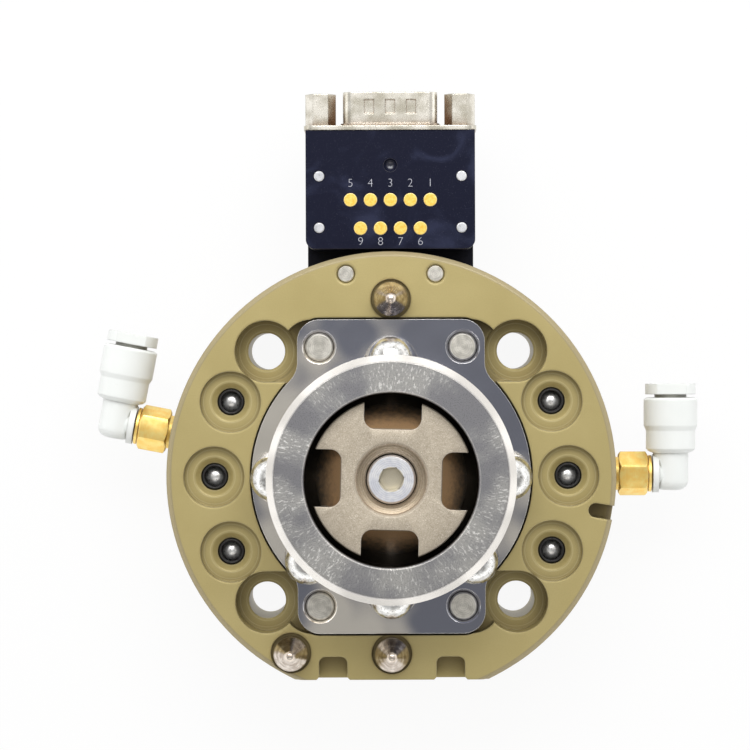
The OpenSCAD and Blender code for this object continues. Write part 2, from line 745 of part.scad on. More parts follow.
module cam_screw() {
  color("#c9ccd2") translate([0, 0, cam_seat_z]) rotate(8)
    socket_screw(m5_r, m5_head_r, m5_head_h, m5_key, cam_screw_l, 0.4);
}

module piston() {
  hub_foot = cam_seat_z - cam_screw_l - 0.4;
  rim_r = bore_r - run_fit;
  seal_z = piston_foot + (piston_t - groove_w) / 2;
  color("#9c9ea2") rotate_extrude($fn = round_fn) polygon([
    [m5_r + thread_fit, hub_foot], [hub_r, hub_foot], [hub_r, spring_ceiling],
    [spring_pocket_r, spring_ceiling], [spring_pocket_r, piston_foot],
    [rim_r, piston_foot], [rim_r, seal_z], [bore_r - groove_d, seal_z],
    [bore_r - groove_d, seal_z + groove_w], [rim_r, seal_z + groove_w], [rim_r, piston_top],
    [spigot_r + seat_fit, piston_top], [spigot_r + seat_fit, piston_top - spigot_h],
    [m5_r + thread_fit, piston_top - spigot_h]]);
}

module piston_seal() {
  z = piston_foot + piston_t / 2;
  section_r = (groove_d - run_fit) / 2 - seat_fit / 2;
  color("#26272a") o_ring(z, bore_r - run_fit / 2 - groove_d / 2 - run_fit / 2 + seat_fit / 2,
    section_r);
}

module rod_seal() {
  color("#26272a") o_ring(web_seal_z + groove_w / 2, rod_r + run_fit + section_rod,
    section_rod - seat_fit / 2);
}
module lock_spring() {
  color("#8d9096") coil_spring(spring_r, spring_wire_r, spring_floor, spring_ceiling,
    spring_turns, 20, 8);
}

module cylinder_cover() {
  rim_r = bore_r - seat_fit;
  groove_z = (cover_z + cover_top - groove_w) / 2;
  color("#a9abb0") rotate_extrude($fn = round_fn) polygon([
    [vent_r, cover_z], [rim_r - 0.4, cover_z], [rim_r, cover_z + 0.4], [rim_r, groove_z],
    [bore_r - groove_d, groove_z], [bore_r - groove_d, groove_z + groove_w],
    [rim_r, groove_z + groove_w], [rim_r, cover_top], [spring_pocket_r, cover_top],
    [spring_pocket_r, spring_floor], [vent_r, spring_floor]]);
}

module cover_seal() {
  section_r = (groove_d - seat_fit) / 2;
  color("#26272a") o_ring((cover_z + cover_top) / 2, bore_r - section_r - seat_fit / 2,
    section_r - seat_fit / 2);
}

// Internal retaining ring: open at one side, with two eyes for the pliers
module retaining_ring() {
  outer = bore_r + snap_d - seat_fit;
  inner = bore_r - 1.6;
  gap_w = 5;
  color("#55575c") translate([0, 0, snap_z + seat_fit / 2]) linear_extrude(snap_t - seat_fit)
    difference() {
      union() {
        difference() {
          circle(r = outer, $fn = round_fn);
          circle(r = inner, $fn = round_fn);
          translate([-gap_w / 2, 0]) square([gap_w, outer + 1]);
        }
        for (s = [-1, 1]) translate([s * (gap_w / 2 + 1.4), inner - 0.6])
          circle(r = 1.4, $fn = small_fn);
      }
      for (s = [-1, 1]) translate([s * (gap_w / 2 + 1.4), inner - 0.6])
        circle(r = 0.6, $fn = small_fn);
    }
}

module locating_pin() {
  low = face_z - pin_recess;
  top = face_z + pin_h;
  cone = face_z + pin_straight;
  slope = (pin_r - pin_tip_r) / (top - pin_tip_r - cone);
  lean = atan(slope);
  color("#a39a90") rotate_extrude($fn = small_fn) polygon(concat([
    [0, low - pin_depth + 0.2], [pin_shank_r - 0.3, low - pin_depth + 0.2],
    [pin_shank_r, low - pin_depth + 0.5], [pin_shank_r, low], [pin_r, low], [pin_r, cone]],
    [for (i = [0:6]) let (a = lean + (90 - lean) * i / 6)
      [pin_tip_r * cos(a), top - pin_tip_r + pin_tip_r * sin(a)]]));
}
module locating_pin_top() { translate([0, bolt_circle_r, 0]) locating_pin(); }
module locating_pin_bottom() { translate([0, -bolt_circle_r, 0]) locating_pin(); }
module locating_pin_offset() { at_offset_pin() locating_pin(); }

module port_seals() {
  color("#17181b") for (a = port_angles) at_port(a) rotate_extrude($fn = small_fn)
    polygon([[seal_hole_r, seal_z], [port_r - seat_fit, seal_z],
      [port_r - seat_fit, seal_top - 0.25], [port_r - 0.3, seal_top],
      [seal_hole_r + 0.15, seal_top], [seal_hole_r, seal_top - 0.15]]);
}

module port_ball(i) {
  color("#dcdde0") at_port(port_angles[i]) translate([0, 0, valve_z])
    sphere(r = valve_ball_r, $fn = small_fn);
}
module port_ball_1() { port_ball(0); }
module port_ball_2() { port_ball(1); }
module port_ball_3() { port_ball(2); }
module port_ball_4() { port_ball(3); }
module port_ball_5() { port_ball(4); }
module port_ball_6() { port_ball(5); }

module port_spring(i) {
  wire = 0.15;
  r = 1.35;
  // the top turn touches the ball below its widest circle
  rest = valve_z - sqrt((valve_ball_r + wire) * (valve_ball_r + wire) - r * r);
  color("#9a9ca0") at_port(port_angles[i])
    coil_spring(r, wire, port_floor, rest + wire, 3, 10, 6);
}
module port_spring_1() { port_spring(0); }
module port_spring_2() { port_spring(1); }
module port_spring_3() { port_spring(2); }
module port_spring_4() { port_spring(3); }
module port_spring_5() { port_spring(4); }
module port_spring_6() { port_spring(5); }

// Plate under the body's rim that carries the contact block
module connector_bracket() {
  start = body_r - bracket_reach;
  length = block_end - start;
  color("#22242c") difference() {
    translate([0, start + length / 2, bracket_z]) linear_extrude(bracket_t)
      rounded_rectangle(2 * bracket_half_w, length, 1);
    at_bracket_screws() {
      cylinder(r = m3_r + 0.2, h = body_t, $fn = small_fn);
      cylinder(r = m3_head_r + 0.25, h = bracket_seat, $fn = small_fn);
    }
  }
}

module bracket_screws() {
  color("#8f8f92") at_bracket_screws() translate([0, 0, bracket_seat]) mirror([0, 0, 1])
    socket_screw(m3_r, m3_head_r, 3, 2.5, face_z - 0.1 - bracket_seat, 0.17);
}

module at_rivets() {
  for (s = [-1, 1], y = [pad_lower_y + 0.09, pad_upper_y + 4.22])
    translate([s * rivet_x, y, 0]) children();
}

module at_pads() {
  for (i = [-2:2]) translate([i * pad_pitch, pad_upper_y, 0]) children();
  for (i = [-1.5:1.5]) translate([i * pad_pitch, pad_lower_y, 0]) children();
}

module contact_block() {
  w = block_half_w;
  c = block_corner_r;
  color("#20222c") difference() {
    translate([0, 0, block_z]) linear_extrude(block_t) {
      translate([-w, block_y + c]) square([2 * w, block_l - c]);
      translate([-w + c, block_y]) square([2 * w - 2 * c, c + eps]);
      for (s = [-1, 1]) translate([s * (w - c), block_y + c]) circle(r = c, $fn = small_fn);
    }
    at_pads() translate([0, 0, block_top - pad_depth])
      cylinder(r = pad_r + seat_fit, h = pad_depth + 1, $fn = small_fn);
    at_rivets() translate([0, 0, block_z - eps])
      cylinder(r = rivet_r + seat_fit, h = block_t + 1, $fn = small_fn);
    translate([0, pad_upper_y + 6.17, block_top - 3.4])
      cylinder(r = 1.2, h = 4, $fn = small_fn);
    translate([-9.6, block_end - cavity_depth, dsub_z - 4.8])
      cube([19.2, cavity_depth + 1, 9.6]);
    for (s = [-1, 1]) translate([s * jack_pitch / 2, 0, dsub_z])
      rod_y(block_end - 5, 6, 1.4 + thread_fit);
  }
}

module contact_pads() {
  color("#e8bf50") at_pads() translate([0, 0, block_top - pad_depth + seat_fit])
    cylinder(r = pad_r, h = pad_depth, $fn = small_fn);
}

module block_rivets() {
  color("#b9bcc2") at_rivets() translate([0, 0, block_z])
    cylinder(r = rivet_r, h = block_t + 0.1, $fn = small_fn);
}

// Outline of the connector's D shape, wide side up, drawn in X and Z; grow enlarges it
function arc(cx, cy, r, a0, a1, n) =
  [for (i = [0:n]) let (a = a0 + (a1 - a0) * i / n) [cx + r * cos(a), cy + r * sin(a)]];

module d_outline(grow) {
  lean = 10;
  r = 2 + grow;
  h = dsub_h / 2 + grow;
  w = dsub_w / 2 + grow;
  top_x = w - r;
  low_x = top_x - (2 * h - 2 * r) * tan(lean);
  right = concat(arc(low_x, -h + r, r, -90, -lean, 5), arc(top_x, h - r, r, -lean, 90, 6));
  left = [for (i = [len(right) - 1:-1:0]) [-right[i][0], right[i][1]]];
  polygon(concat(right, left));
}

module along_y(y, length) {
  translate([0, y + length, dsub_z]) rotate([90, 0, 0]) linear_extrude(length) children();
}

module dsub_shell() {
  dimple_y = dsub_front + 3.5;
  color("#c9c6bd") difference() {
    union() {
      along_y(block_end, dsub_flange_t)
        rounded_rectangle(dsub_flange_w, dsub_flange_h, 2);
      along_y(dsub_front - eps, dsub_depth) d_outline(0);
      along_y(dsub_front - eps, 0.5) d_outline(0.4);
    }
    along_y(block_end - 1, dsub_depth + 3) d_outline(-dsub_wall);
    for (s = [-1, 1]) translate([s * jack_pitch / 2, 0, dsub_z])
      rod_y(block_end - 1, 3, 1.6);
    for (x = [-3.75, 0, 3.75]) translate([x - 0.9, dimple_y - 1.25, dsub_z + dsub_h / 2 - 0.2])
      cube([1.8, 2.5, 1]);
  }
}

module dsub_insert() {
  color("#1b1c20") difference() {
    union() {
      along_y(block_end - cavity_depth + 0.2, cavity_depth - 0.2)
        rounded_rectangle(18.8, 9.2, 1);
      along_y(block_end - eps, dsub_flange_t + 0.7) d_outline(-dsub_wall - seat_fit);
    }
    at_poles() rod_y(block_end - cavity_depth - 1, dsub_depth + cavity_depth + 2,
      pole_r + seat_fit);
  }
}

module at_poles() {
  for (i = [-2:2]) translate([i * pole_pitch, 0, dsub_z + pole_row / 2]) children();
  for (i = [-1.5:1.5]) translate([i * pole_pitch, 0, dsub_z - pole_row / 2]) children();
}

module dsub_pins() {
  start = block_end - cavity_depth + 0.4;
  color("#e0b64a") at_poles() {
    rod_y(start, dsub_end - 1.3 - start, pole_r, 24);
    translate([0, dsub_end - 1.3, 0]) rotate([-90, 0, 0])
      cylinder(r1 = pole_r, r2 = pole_r - 0.3, h = 0.4, $fn = 24);
  }
}

module jack_posts() {
  post_l = dsub_depth - 0.2;
  color("#cdc8bc") for (s = [-1, 1]) translate([s * jack_pitch / 2, 0, dsub_z])
    difference() {
      union() {
        translate([0, dsub_front, 0]) rotate([-90, 0, 0])
          cylinder(r = jack_af / sqrt(3), h = post_l, $fn = 6);
        rod_y(block_end - 4.8, 4.8 + dsub_flange_t + eps, 1.4);
      }
      rod_y(dsub_front + post_l - 5, 6, 1.13);
    }
}

// Brass stem: thread, hexagon and swivel journal, bored through
module fitting_stem() {
  across = hex_af / sqrt(3);
  color("#e3bd6a") translate([0, 0, side_port_z]) difference() {
    union() {
      rod_x(body_r - side_port_d + 0.3, side_port_d - 0.3, side_port_r - thread_fit);
      rod_x(body_r - port_face_d, hex_start + port_face_d, hex_af / 2 - 0.5);
      intersection() {
        translate([body_r + hex_start, 0, 0]) rotate([0, 90, 0])
          cylinder(r = across, h = hex_end - hex_start, $fn = 6);
        hex_chamfer(across);
      }
      rod_x(body_r + hex_end - eps, stem_end - hex_end, 3.3);
      rod_x(body_r + stem_end - 2 * eps, journal_end - stem_end, journal_r);
    }
    rod_x(body_r - side_port_d, side_port_d + journal_end + 1, 1);
  }
}

// Turned chamfers on both ends of the hexagon
module hex_chamfer(across) {
  length = hex_end - hex_start;
  d = across - hex_af / 2;
  run = d / tan(60);
  translate([body_r + hex_start, 0, 0]) rotate([0, 90, 0]) rotate_extrude($fn = small_fn)
    polygon([[0, 0], [hex_af / 2, 0], [across, run], [across, length - run],
      [hex_af / 2, length], [0, length]]);
}

// White elbow that swivels on the stem and takes the tube
module elbow() {
  lip_r = 3.45;
  lip_t = 1.1;
  bottom = 3;
  hub_wall = 0.85;
  hub_bore = journal_r + run_fit;
  color("#eeeeea") translate([body_r, 0, side_port_z]) difference() {
    union() {
      translate([elbow_x, 0, 0]) rotate([-90, 0, 0]) rotate(40) rotate_extrude($fn = small_fn)
        polygon(concat([[0, -bottom]], arc(elbow_foot_r - 1.8, -bottom + 1.8, 1.8, -90, 0, 6),
          [[elbow_foot_r, collar_y - 0.3], [collar_r - 0.45, collar_y],
          [collar_r, collar_y + 0.45], [collar_r, collar_end],
          [barrel_r, collar_end + 0.9], [barrel_r, elbow_l - 0.4],
          [barrel_r - 0.4, elbow_l], [0, elbow_l]]));
      rod_x(elbow_start, elbow_x - elbow_start, hub_bore + hub_wall);
      rod_x(elbow_start, lip_t, lip_r);
    }
    rod_x(elbow_start - 1, elbow_x - elbow_start + 1 + drill_r + 0.2, hub_bore);
    translate([elbow_x, 0, 0]) {
      rod_y(0, stop_y + 1, drill_r);
      rod_y(stop_y, elbow_l, tube_bore_r);
      rod_y(seal_y, latch_y - seal_y, latch_r);
      rod_y(latch_y - eps, elbow_l, sleeve_r + run_fit);
    }
  }
}

module tube_seal() {
  color("#1c1d20") translate([body_r + elbow_x, 0, side_port_z]) difference() {
    rod_y(seal_y + seat_fit, 1.3, latch_r - seat_fit);
    rod_y(seal_y - 1, 4, tube_bore_r);
  }
}

module collet() {
  color("#c4c6ca") translate([body_r + elbow_x, seal_y + 1.55, side_port_z])
    rotate([-90, 0, 0]) rotate_extrude($fn = small_fn)
      polygon([[latch_r - seat_fit, 0.25], [latch_r - seat_fit, 0.55], [2.6, 0.3],
        [tube_bore_r + 0.02, 0.3], [tube_bore_r + 0.02, 0], [2.6, 0]]);
}

module release_button() {
  head = elbow_l + button_gap;
  color("#f2f2ee") translate([body_r + elbow_x, 0, side_port_z]) difference() {
    union() {
      rod_y(latch_y + 0.6, head - latch_y - 0.6 + eps, sleeve_r);
      intersection() {
        rod_y(head, button_h, button_r);
        translate([-button_r, head - 1, -button_half_w])
          cube([2 * button_r, button_h + 2, 2 * button_half_w]);
      }
    }
    rod_y(latch_y, elbow_l, tube_bore_r);
    translate([0, head + button_h - 0.6, 0]) rotate([-90, 0, 0])
      cylinder(r1 = tube_bore_r, r2 = tube_bore_r + 0.61, h = 0.61, $fn = small_fn);
  }
}

// The left fitting stands on its own side port, turned half a turn about its axis
module on_left() {
  rotate(lock_port_angle) translate([0, 0, side_port_z]) rotate([180, 0, 0])
    translate([0, 0, -side_port_z]) children();
}

module fitting_stem_right() { fitting_stem(); }
module elbow_right() { elbow(); }
module tube_seal_right() { tube_seal(); }
module collet_right() { collet(); }
module release_button_right() { release_button(); }
module fitting_stem_left() { on_left() fitting_stem(); }
module elbow_left() { on_left() elbow(); }
module tube_seal_left() { on_left() tube_seal(); }
module collet_left() { on_left() collet(); }
module release_button_left() { on_left() release_button(); }

body();
lock_cage();
cage_screws();
lock_ball_1();
lock_ball_2();
lock_ball_3();
lock_ball_4();
lock_ball_5();
lock_ball_6();
cam();
cam_screw();
piston();
piston_seal();
rod_seal();
lock_spring();
cylinder_cover();
cover_seal();
retaining_ring();
locating_pin_top();
locating_pin_bottom();
locating_pin_offset();
port_seals();
port_ball_1();
port_ball_2();
port_ball_3();
port_ball_4();
port_ball_5();
port_ball_6();
port_spring_1();
port_spring_2();
port_spring_3();
port_spring_4();
port_spring_5();
port_spring_6();
connector_bracket();
bracket_screws();
contact_block();
contact_pads();
block_rivets();
dsub_shell();
dsub_insert();
dsub_pins();
jack_posts();
fitting_stem_right();
elbow_right();
tube_seal_right();
collet_right();
release_button_right();
fitting_stem_left();
elbow_left();
tube_seal_left();
collet_left();
release_button_left();
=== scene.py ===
# %% [markdown]
# # A robotic tool changer, finished in Blender
#
# This is the robot's half of a pneumatic tool changer: an anodised plate with a hardened lock ring,
# six lock balls, six air ports, three locating pins, a contact block and two push-in elbows.
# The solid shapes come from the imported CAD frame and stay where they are. This lesson adds what makes
# them look real: finishes built from nodes, printed numbers, moulded plastic, lights and a camera.
# Everything is in metres, and most sizes below are written in millimetres and scaled once.

# %% Load the frame
import json
import math

import bpy
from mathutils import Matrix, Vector


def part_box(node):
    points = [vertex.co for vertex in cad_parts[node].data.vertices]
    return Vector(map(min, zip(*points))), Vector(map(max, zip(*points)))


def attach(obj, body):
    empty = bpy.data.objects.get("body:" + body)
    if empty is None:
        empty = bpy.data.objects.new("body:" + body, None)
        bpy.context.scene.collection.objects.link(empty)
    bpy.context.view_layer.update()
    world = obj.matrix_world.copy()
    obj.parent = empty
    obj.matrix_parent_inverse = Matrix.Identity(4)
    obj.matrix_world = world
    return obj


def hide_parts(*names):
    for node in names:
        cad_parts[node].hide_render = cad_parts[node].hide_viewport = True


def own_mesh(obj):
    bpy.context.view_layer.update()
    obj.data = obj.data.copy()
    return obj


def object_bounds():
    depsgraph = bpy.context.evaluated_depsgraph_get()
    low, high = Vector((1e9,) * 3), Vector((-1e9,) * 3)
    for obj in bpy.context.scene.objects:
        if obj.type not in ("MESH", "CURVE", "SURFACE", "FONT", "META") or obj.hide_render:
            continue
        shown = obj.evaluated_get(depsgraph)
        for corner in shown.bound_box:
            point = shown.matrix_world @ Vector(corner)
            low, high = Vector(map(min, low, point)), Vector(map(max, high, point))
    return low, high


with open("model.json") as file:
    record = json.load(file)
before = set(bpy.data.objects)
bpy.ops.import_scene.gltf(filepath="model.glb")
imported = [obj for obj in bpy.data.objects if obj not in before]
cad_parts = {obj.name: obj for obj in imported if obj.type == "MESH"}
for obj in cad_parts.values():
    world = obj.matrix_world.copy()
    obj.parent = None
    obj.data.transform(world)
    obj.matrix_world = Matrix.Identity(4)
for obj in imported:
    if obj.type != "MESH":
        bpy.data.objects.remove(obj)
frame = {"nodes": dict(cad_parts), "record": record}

MM = 0.001
cad_bounds = [list(corner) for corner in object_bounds()]
bpy.ops.object.select_all(action="DESELECT")
print("CAD box in mm:", [[round(v / MM, 2) for v in corner] for corner in cad_bounds])

# %% [markdown]
# ## Places worked out from the frame
#
# A finish or a new piece has to know where the ring, the ports and the screws are. Typing those places
# would break as soon as a size changes, so they are measured here from each node's own box.

# %% Measure the places of the main pieces
def middle(node):
    """The middle of a node's box, in millimetres."""
    low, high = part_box(node)
    return (low + high) / (2 * MM)


def top_of(node):
    """The height of a node's highest point, in millimetres."""
    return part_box(node)[1].z / MM


def foot_of(node):
    """The height of a node's lowest point, in millimetres."""
    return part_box(node)[0].z / MM


mounts = {mount["name"]: mount for mount in frame["record"]["mounts"]}
FACE_Z = top_of("body")
RING_TOP = top_of("lock_cage")
CAM_TOP = top_of("cam")
BODY_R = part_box("body")[1].x / MM
RING_R = mounts["ball_lock"]["dims"]["r_mm"]
CAVITY_R = 18.2    # the bore inside the lock ring
port_places = [middle(f"port_ball_{i}") for i in range(1, 7)]
bolt_r = mounts["robot_bolts"]["dims"]["pcd_mm"] / 2
bolt_places = [
    Vector((bolt_r * math.cos(math.radians(a)), bolt_r * math.sin(math.radians(a)), 0))
    for a in (45, 135, 225, 315)
]
pin_places = {name: middle(f"locating_pin_{name}") for name in ("top", "bottom", "offset")}
print("face", round(FACE_Z, 2), "ring top", round(RING_TOP, 2), "cam top", round(CAM_TOP, 2))

# %% [markdown]
# ## Shader maths as Python sums
#
# A finish is a small calculation: noise times a mask, plus a scratch. Linking Math nodes by hand hides
# the sum, so one class wraps a socket and lets the sum be written as it is read. Numbers and sockets
# mix, with the socket first in a product. Colours don't go through these sums, because a Math node
# would turn them grey: they go through `tint`, which adds a Mix node.

# %% Wire: a socket that takes part in sums
class Wire:
    """An output socket of a finish's node tree, which can stand in a sum."""

    def __init__(self, finish, socket):
        self.finish = finish
        self.socket = socket

    def other(self, name):
        """Another output of the same node."""
        return Wire(self.finish, self.socket.node.outputs[name])

    def maths(self, operation, first, second):
        return self.finish.add("ShaderNodeMath", {"operation": operation}, {0: first, 1: second})

    def __add__(self, value):
        return self.maths("ADD", self, value)

    def __radd__(self, value):
        return self.maths("ADD", value, self)

    def __sub__(self, value):
        return self.maths("SUBTRACT", self, value)

    def __rsub__(self, value):
        return self.maths("SUBTRACT", value, self)

    def __mul__(self, value):
        return self.maths("MULTIPLY", self, value)

    def least(self, value):
        return self.maths("MINIMUM", self, value)

    def most(self, value):
        return self.maths("MAXIMUM", self, value)

    def sine(self):
        return self.finish.add("ShaderNodeMath", {"operation": "SINE"}, {0: self})

    def step(self, low, high):
        """0 below low, 1 above high, and smooth between them. Low may be above high."""
        sockets = {"Value": self, "From Min": low, "From Max": high}
        return self.finish.add("ShaderNodeMapRange", {"interpolation_type": "SMOOTHSTEP"}, sockets)

    def band(self, low, high, soft):
        """1 between low and high, and 0 outside them."""
        return self.step(low - soft, low + soft) * self.step(high + soft, high - soft)


print("Wire is ready: + and - and * now add Math nodes")

# %% [markdown]
# ## Finish: one material
#
# Every finish starts with the Principled shader. `add` makes any node: its settings are set first,
# such as the operation of a Math node, and then each socket gets a number, a colour or a link.
# Patterns are placed in millimetres on the object's own coordinates, so a scratch stays on its piece
# when the piece moves. The same `add` also serves the floor and the room, so it has a class of its own.

# %% Finish: a material and the ways to add to it
def as_socket_value(socket, value):
    """A number, colour or vector in the form that this socket takes."""
    if hasattr(socket.default_value, "__len__") and not hasattr(value, "__len__"):
        return [value] * len(socket.default_value)
    if hasattr(socket.default_value, "__len__") and len(socket.default_value) == 4:
        return [*value[:3], 1.0]
    return value


class Nodes:
    """A node tree of a material or of the world, and one way to add any node to it."""

    def __init__(self, tree):
        self.tree = tree

    def add(self, kind, settings=None, sockets=None, output=0):
        node = self.tree.nodes.new(kind)
        for key, value in (settings or {}).items():
            setattr(node, key, value)
        for key, value in (sockets or {}).items():
            self.plug(node.inputs[key], value)
        return Wire(self, node.outputs[output])

    def plug(self, socket, value):
        if isinstance(value, Wire):
            self.tree.links.new(value.socket, socket)
        else:
            socket.default_value = as_socket_value(socket, value)


class Finish(Nodes):
    """One material. Its shader's sockets are set by give(), and its Normal by relief()."""

    def __init__(self, name, **values):
        self.material = bpy.data.materials.new(name)
        self.material.use_nodes = True
        super().__init__(self.material.node_tree)
        self.shader = self.tree.nodes["Principled BSDF"]
        self.give(**values)
        place = self.add("ShaderNodeTexCoord", output="Object")
        settings = {"operation": "SCALE"}
        self.mm = self.add("ShaderNodeVectorMath", settings, {0: place, "Scale": 1 / MM})

    def give(self, **values):
        """Sets the shader's sockets, whose names are written here with _ for a space."""
        for key, value in values.items():
            self.plug(self.shader.inputs[key.replace("_", " ")], value)

    def tint(self, factor, first, second):
        """A colour between first, where factor is 0, and second, where it is 1."""
        settings = {"data_type": "RGBA"}
        return self.add("ShaderNodeMix", settings, {0: factor, 6: first, 7: second}, output=2)

    def shifted(self, centre=(0, 0, 0), stretch=(1, 1, 1), turn=0.0):
        """The place in millimetres, seen from centre, turned about Z and stretched."""
        settings = {"operation": "SUBTRACT"}
        moved = self.add("ShaderNodeVectorMath", settings, {0: self.mm, 1: tuple(centre)})
        sockets = {"Vector": moved, "Rotation": (0, 0, turn), "Scale": stretch}
        return self.add("ShaderNodeMapping", {"vector_type": "POINT"}, sockets)

    def noise(self, scale, detail=3.0, where=None, distortion=0.0):
        """Soft noise from 0 to 1, with so many grains to a millimetre."""
        sockets = {"Scale": scale, "Detail": detail, "Distortion": distortion}
        return self.add("ShaderNodeTexNoise", {}, {"Vector": where or self.mm, **sockets})

    def part(self, axis, where=None):
        """The X, Y or Z part of a place."""
        return self.add("ShaderNodeSeparateXYZ", {}, {0: where or self.mm}, output=axis)

    def distance(self, centre=(0, 0), axes="XY"):
        """The distance in millimetres from an axis through centre, upright unless axes says else."""
        first = self.part(axes[0]) - centre[0]
        second = self.part(axes[1]) - centre[1]
        return self.add("ShaderNodeMath", {"operation": "SQRT"}, {0: first * first + second * second})

    def polar(self, centre, along, across):
        """Coordinates for marks round an upright axis, with no seam: along stretches the angle."""
        settings = {"operation": "SUBTRACT"}
        flat = self.add("ShaderNodeVectorMath", settings, {0: self.mm, 1: (*centre, 0)})
        flat = self.add("ShaderNodeVectorMath", {"operation": "MULTIPLY"}, {0: flat, 1: (1, 1, 0)})
        way = self.add("ShaderNodeVectorMath", {"operation": "NORMALIZE"}, {0: flat})
        way = self.add("ShaderNodeVectorMath", {"operation": "SCALE"}, {0: way, "Scale": along})
        out = self.distance(centre) * across
        upright = self.add("ShaderNodeCombineXYZ", {}, {"Z": out})
        return self.add("ShaderNodeVectorMath", {"operation": "ADD"}, {0: way, 1: upright})

    def edges(self, radius=0.25):
        """1 on edges and 0 on flat faces, found by how far a rounded normal turns away."""
        soft = self.add("ShaderNodeBevel", {"samples": 4}, {"Radius": radius * MM})
        true = self.add("ShaderNodeNewGeometry", output="Normal")
        settings = {"operation": "DOT_PRODUCT"}
        alike = self.add("ShaderNodeVectorMath", settings, {0: soft, 1: true}, output="Value")
        return (1 - alike).step(0.01, 0.12)

    def painted_gap_shade(self, reach=0.8, start=0.35, full=0.9):
        """1 deep in a narrow gap or corner and 0 in the open: the mask where shade is painted."""
        sockets = {"Distance": reach * MM}
        open_sky = self.add("ShaderNodeAmbientOcclusion", {"samples": 6}, sockets, output="AO")
        return (1 - open_sky).step(start, full)

    def relief(self, height, depth, edge=0.12):
        """Bumps of this height map, depth millimetres deep, on softly rounded edges."""
        soft = self.add("ShaderNodeBevel", {"samples": 4}, {"Radius": edge * MM})
        sockets = {"Height": height, "Distance": depth * MM, "Strength": 1.0, "Normal": soft}
        self.give(Normal=self.add("ShaderNodeBump", {}, sockets))


print("Finish is ready: noise, distance, edges, crevices and relief")


# %% [markdown]
# ## Anodised aluminium
#
# The plate is hard anodised: a thin olive layer, half mineral and half metal, which is satin and hides
# almost no machining. It could be a plain colour, but then the turned counterbores and the paler edges
# would vanish. So the colour drifts a little over the plate, fine rings lie round every port and screw
# hole, edges are painted paler as wear and as painted highlight, and recesses get painted shade.

# %% The olive finish
def shade(red, green, blue):
    """A colour as it looks on a screen, from 0 to 255, in the linear values that Blender mixes."""
    return [
        v / 255 / 12.92 if v <= 10 else ((v / 255 + 0.055) / 1.055) ** 2.4
        for v in (red, green, blue)
    ]


def nearest(finish, places):
    """The distance in millimetres to the nearest of these upright axes."""
    found = finish.distance((places[0].x, places[0].y))
    for place in places[1:]:
        found = found.least(finish.distance((place.x, place.y)))
    return found


def olive_anodised():
    f = Finish("olive_anodised", Metallic=0.3)
    cloud = f.noise(0.07, 4)
    grain = f.noise(5.0, 4)
    near = nearest(f, port_places + bolt_places)
    rings = (near * 21).sine() * near.step(5.8, 5.2)
    lines = (near * 5.5).sine().step(0.86, 1.0) * near.step(5.5, 5.2)
    hair = f.noise(1.0, 2, f.shifted(stretch=(0.12, 7, 7), turn=0.6)).step(0.68, 0.8)
    rim = f.distance().step(BODY_R - 1.05, BODY_R - 0.85)
    # hollow: painted shade in the recesses and down the counterbore walls.
    hollow = f.painted_gap_shade(5, 0.22, 0.8)
    colour = f.tint(cloud, shade(168, 152, 98), shade(190, 175, 122))
    colour = f.tint(grain.step(0.35, 0.75) * 0.2, colour, shade(150, 134, 84))
    colour = f.tint(rim * 0.6, colour, shade(150, 138, 114))
    colour = f.tint(hollow * 0.75, colour, shade(92, 76, 42))
    colour = f.tint(hair * 0.16 + lines * 0.3, colour, shade(214, 205, 166))
    # Edges painted paler: partly wear, partly painted highlight.
    colour = f.tint(f.edges(0.15) * 0.4, colour, shade(218, 209, 176))
    f.give(Base_Color=colour, Roughness=grain * 0.12 + cloud * 0.1 + 0.28 - hair * 0.08)
    f.relief(grain * 0.4 + rings * 0.35 - hair * 0.5, 0.004, 0.55)
    return f.material


print("olive finish:", len(port_places), "ports and", len(bolt_places), "screw holes get turned rings")
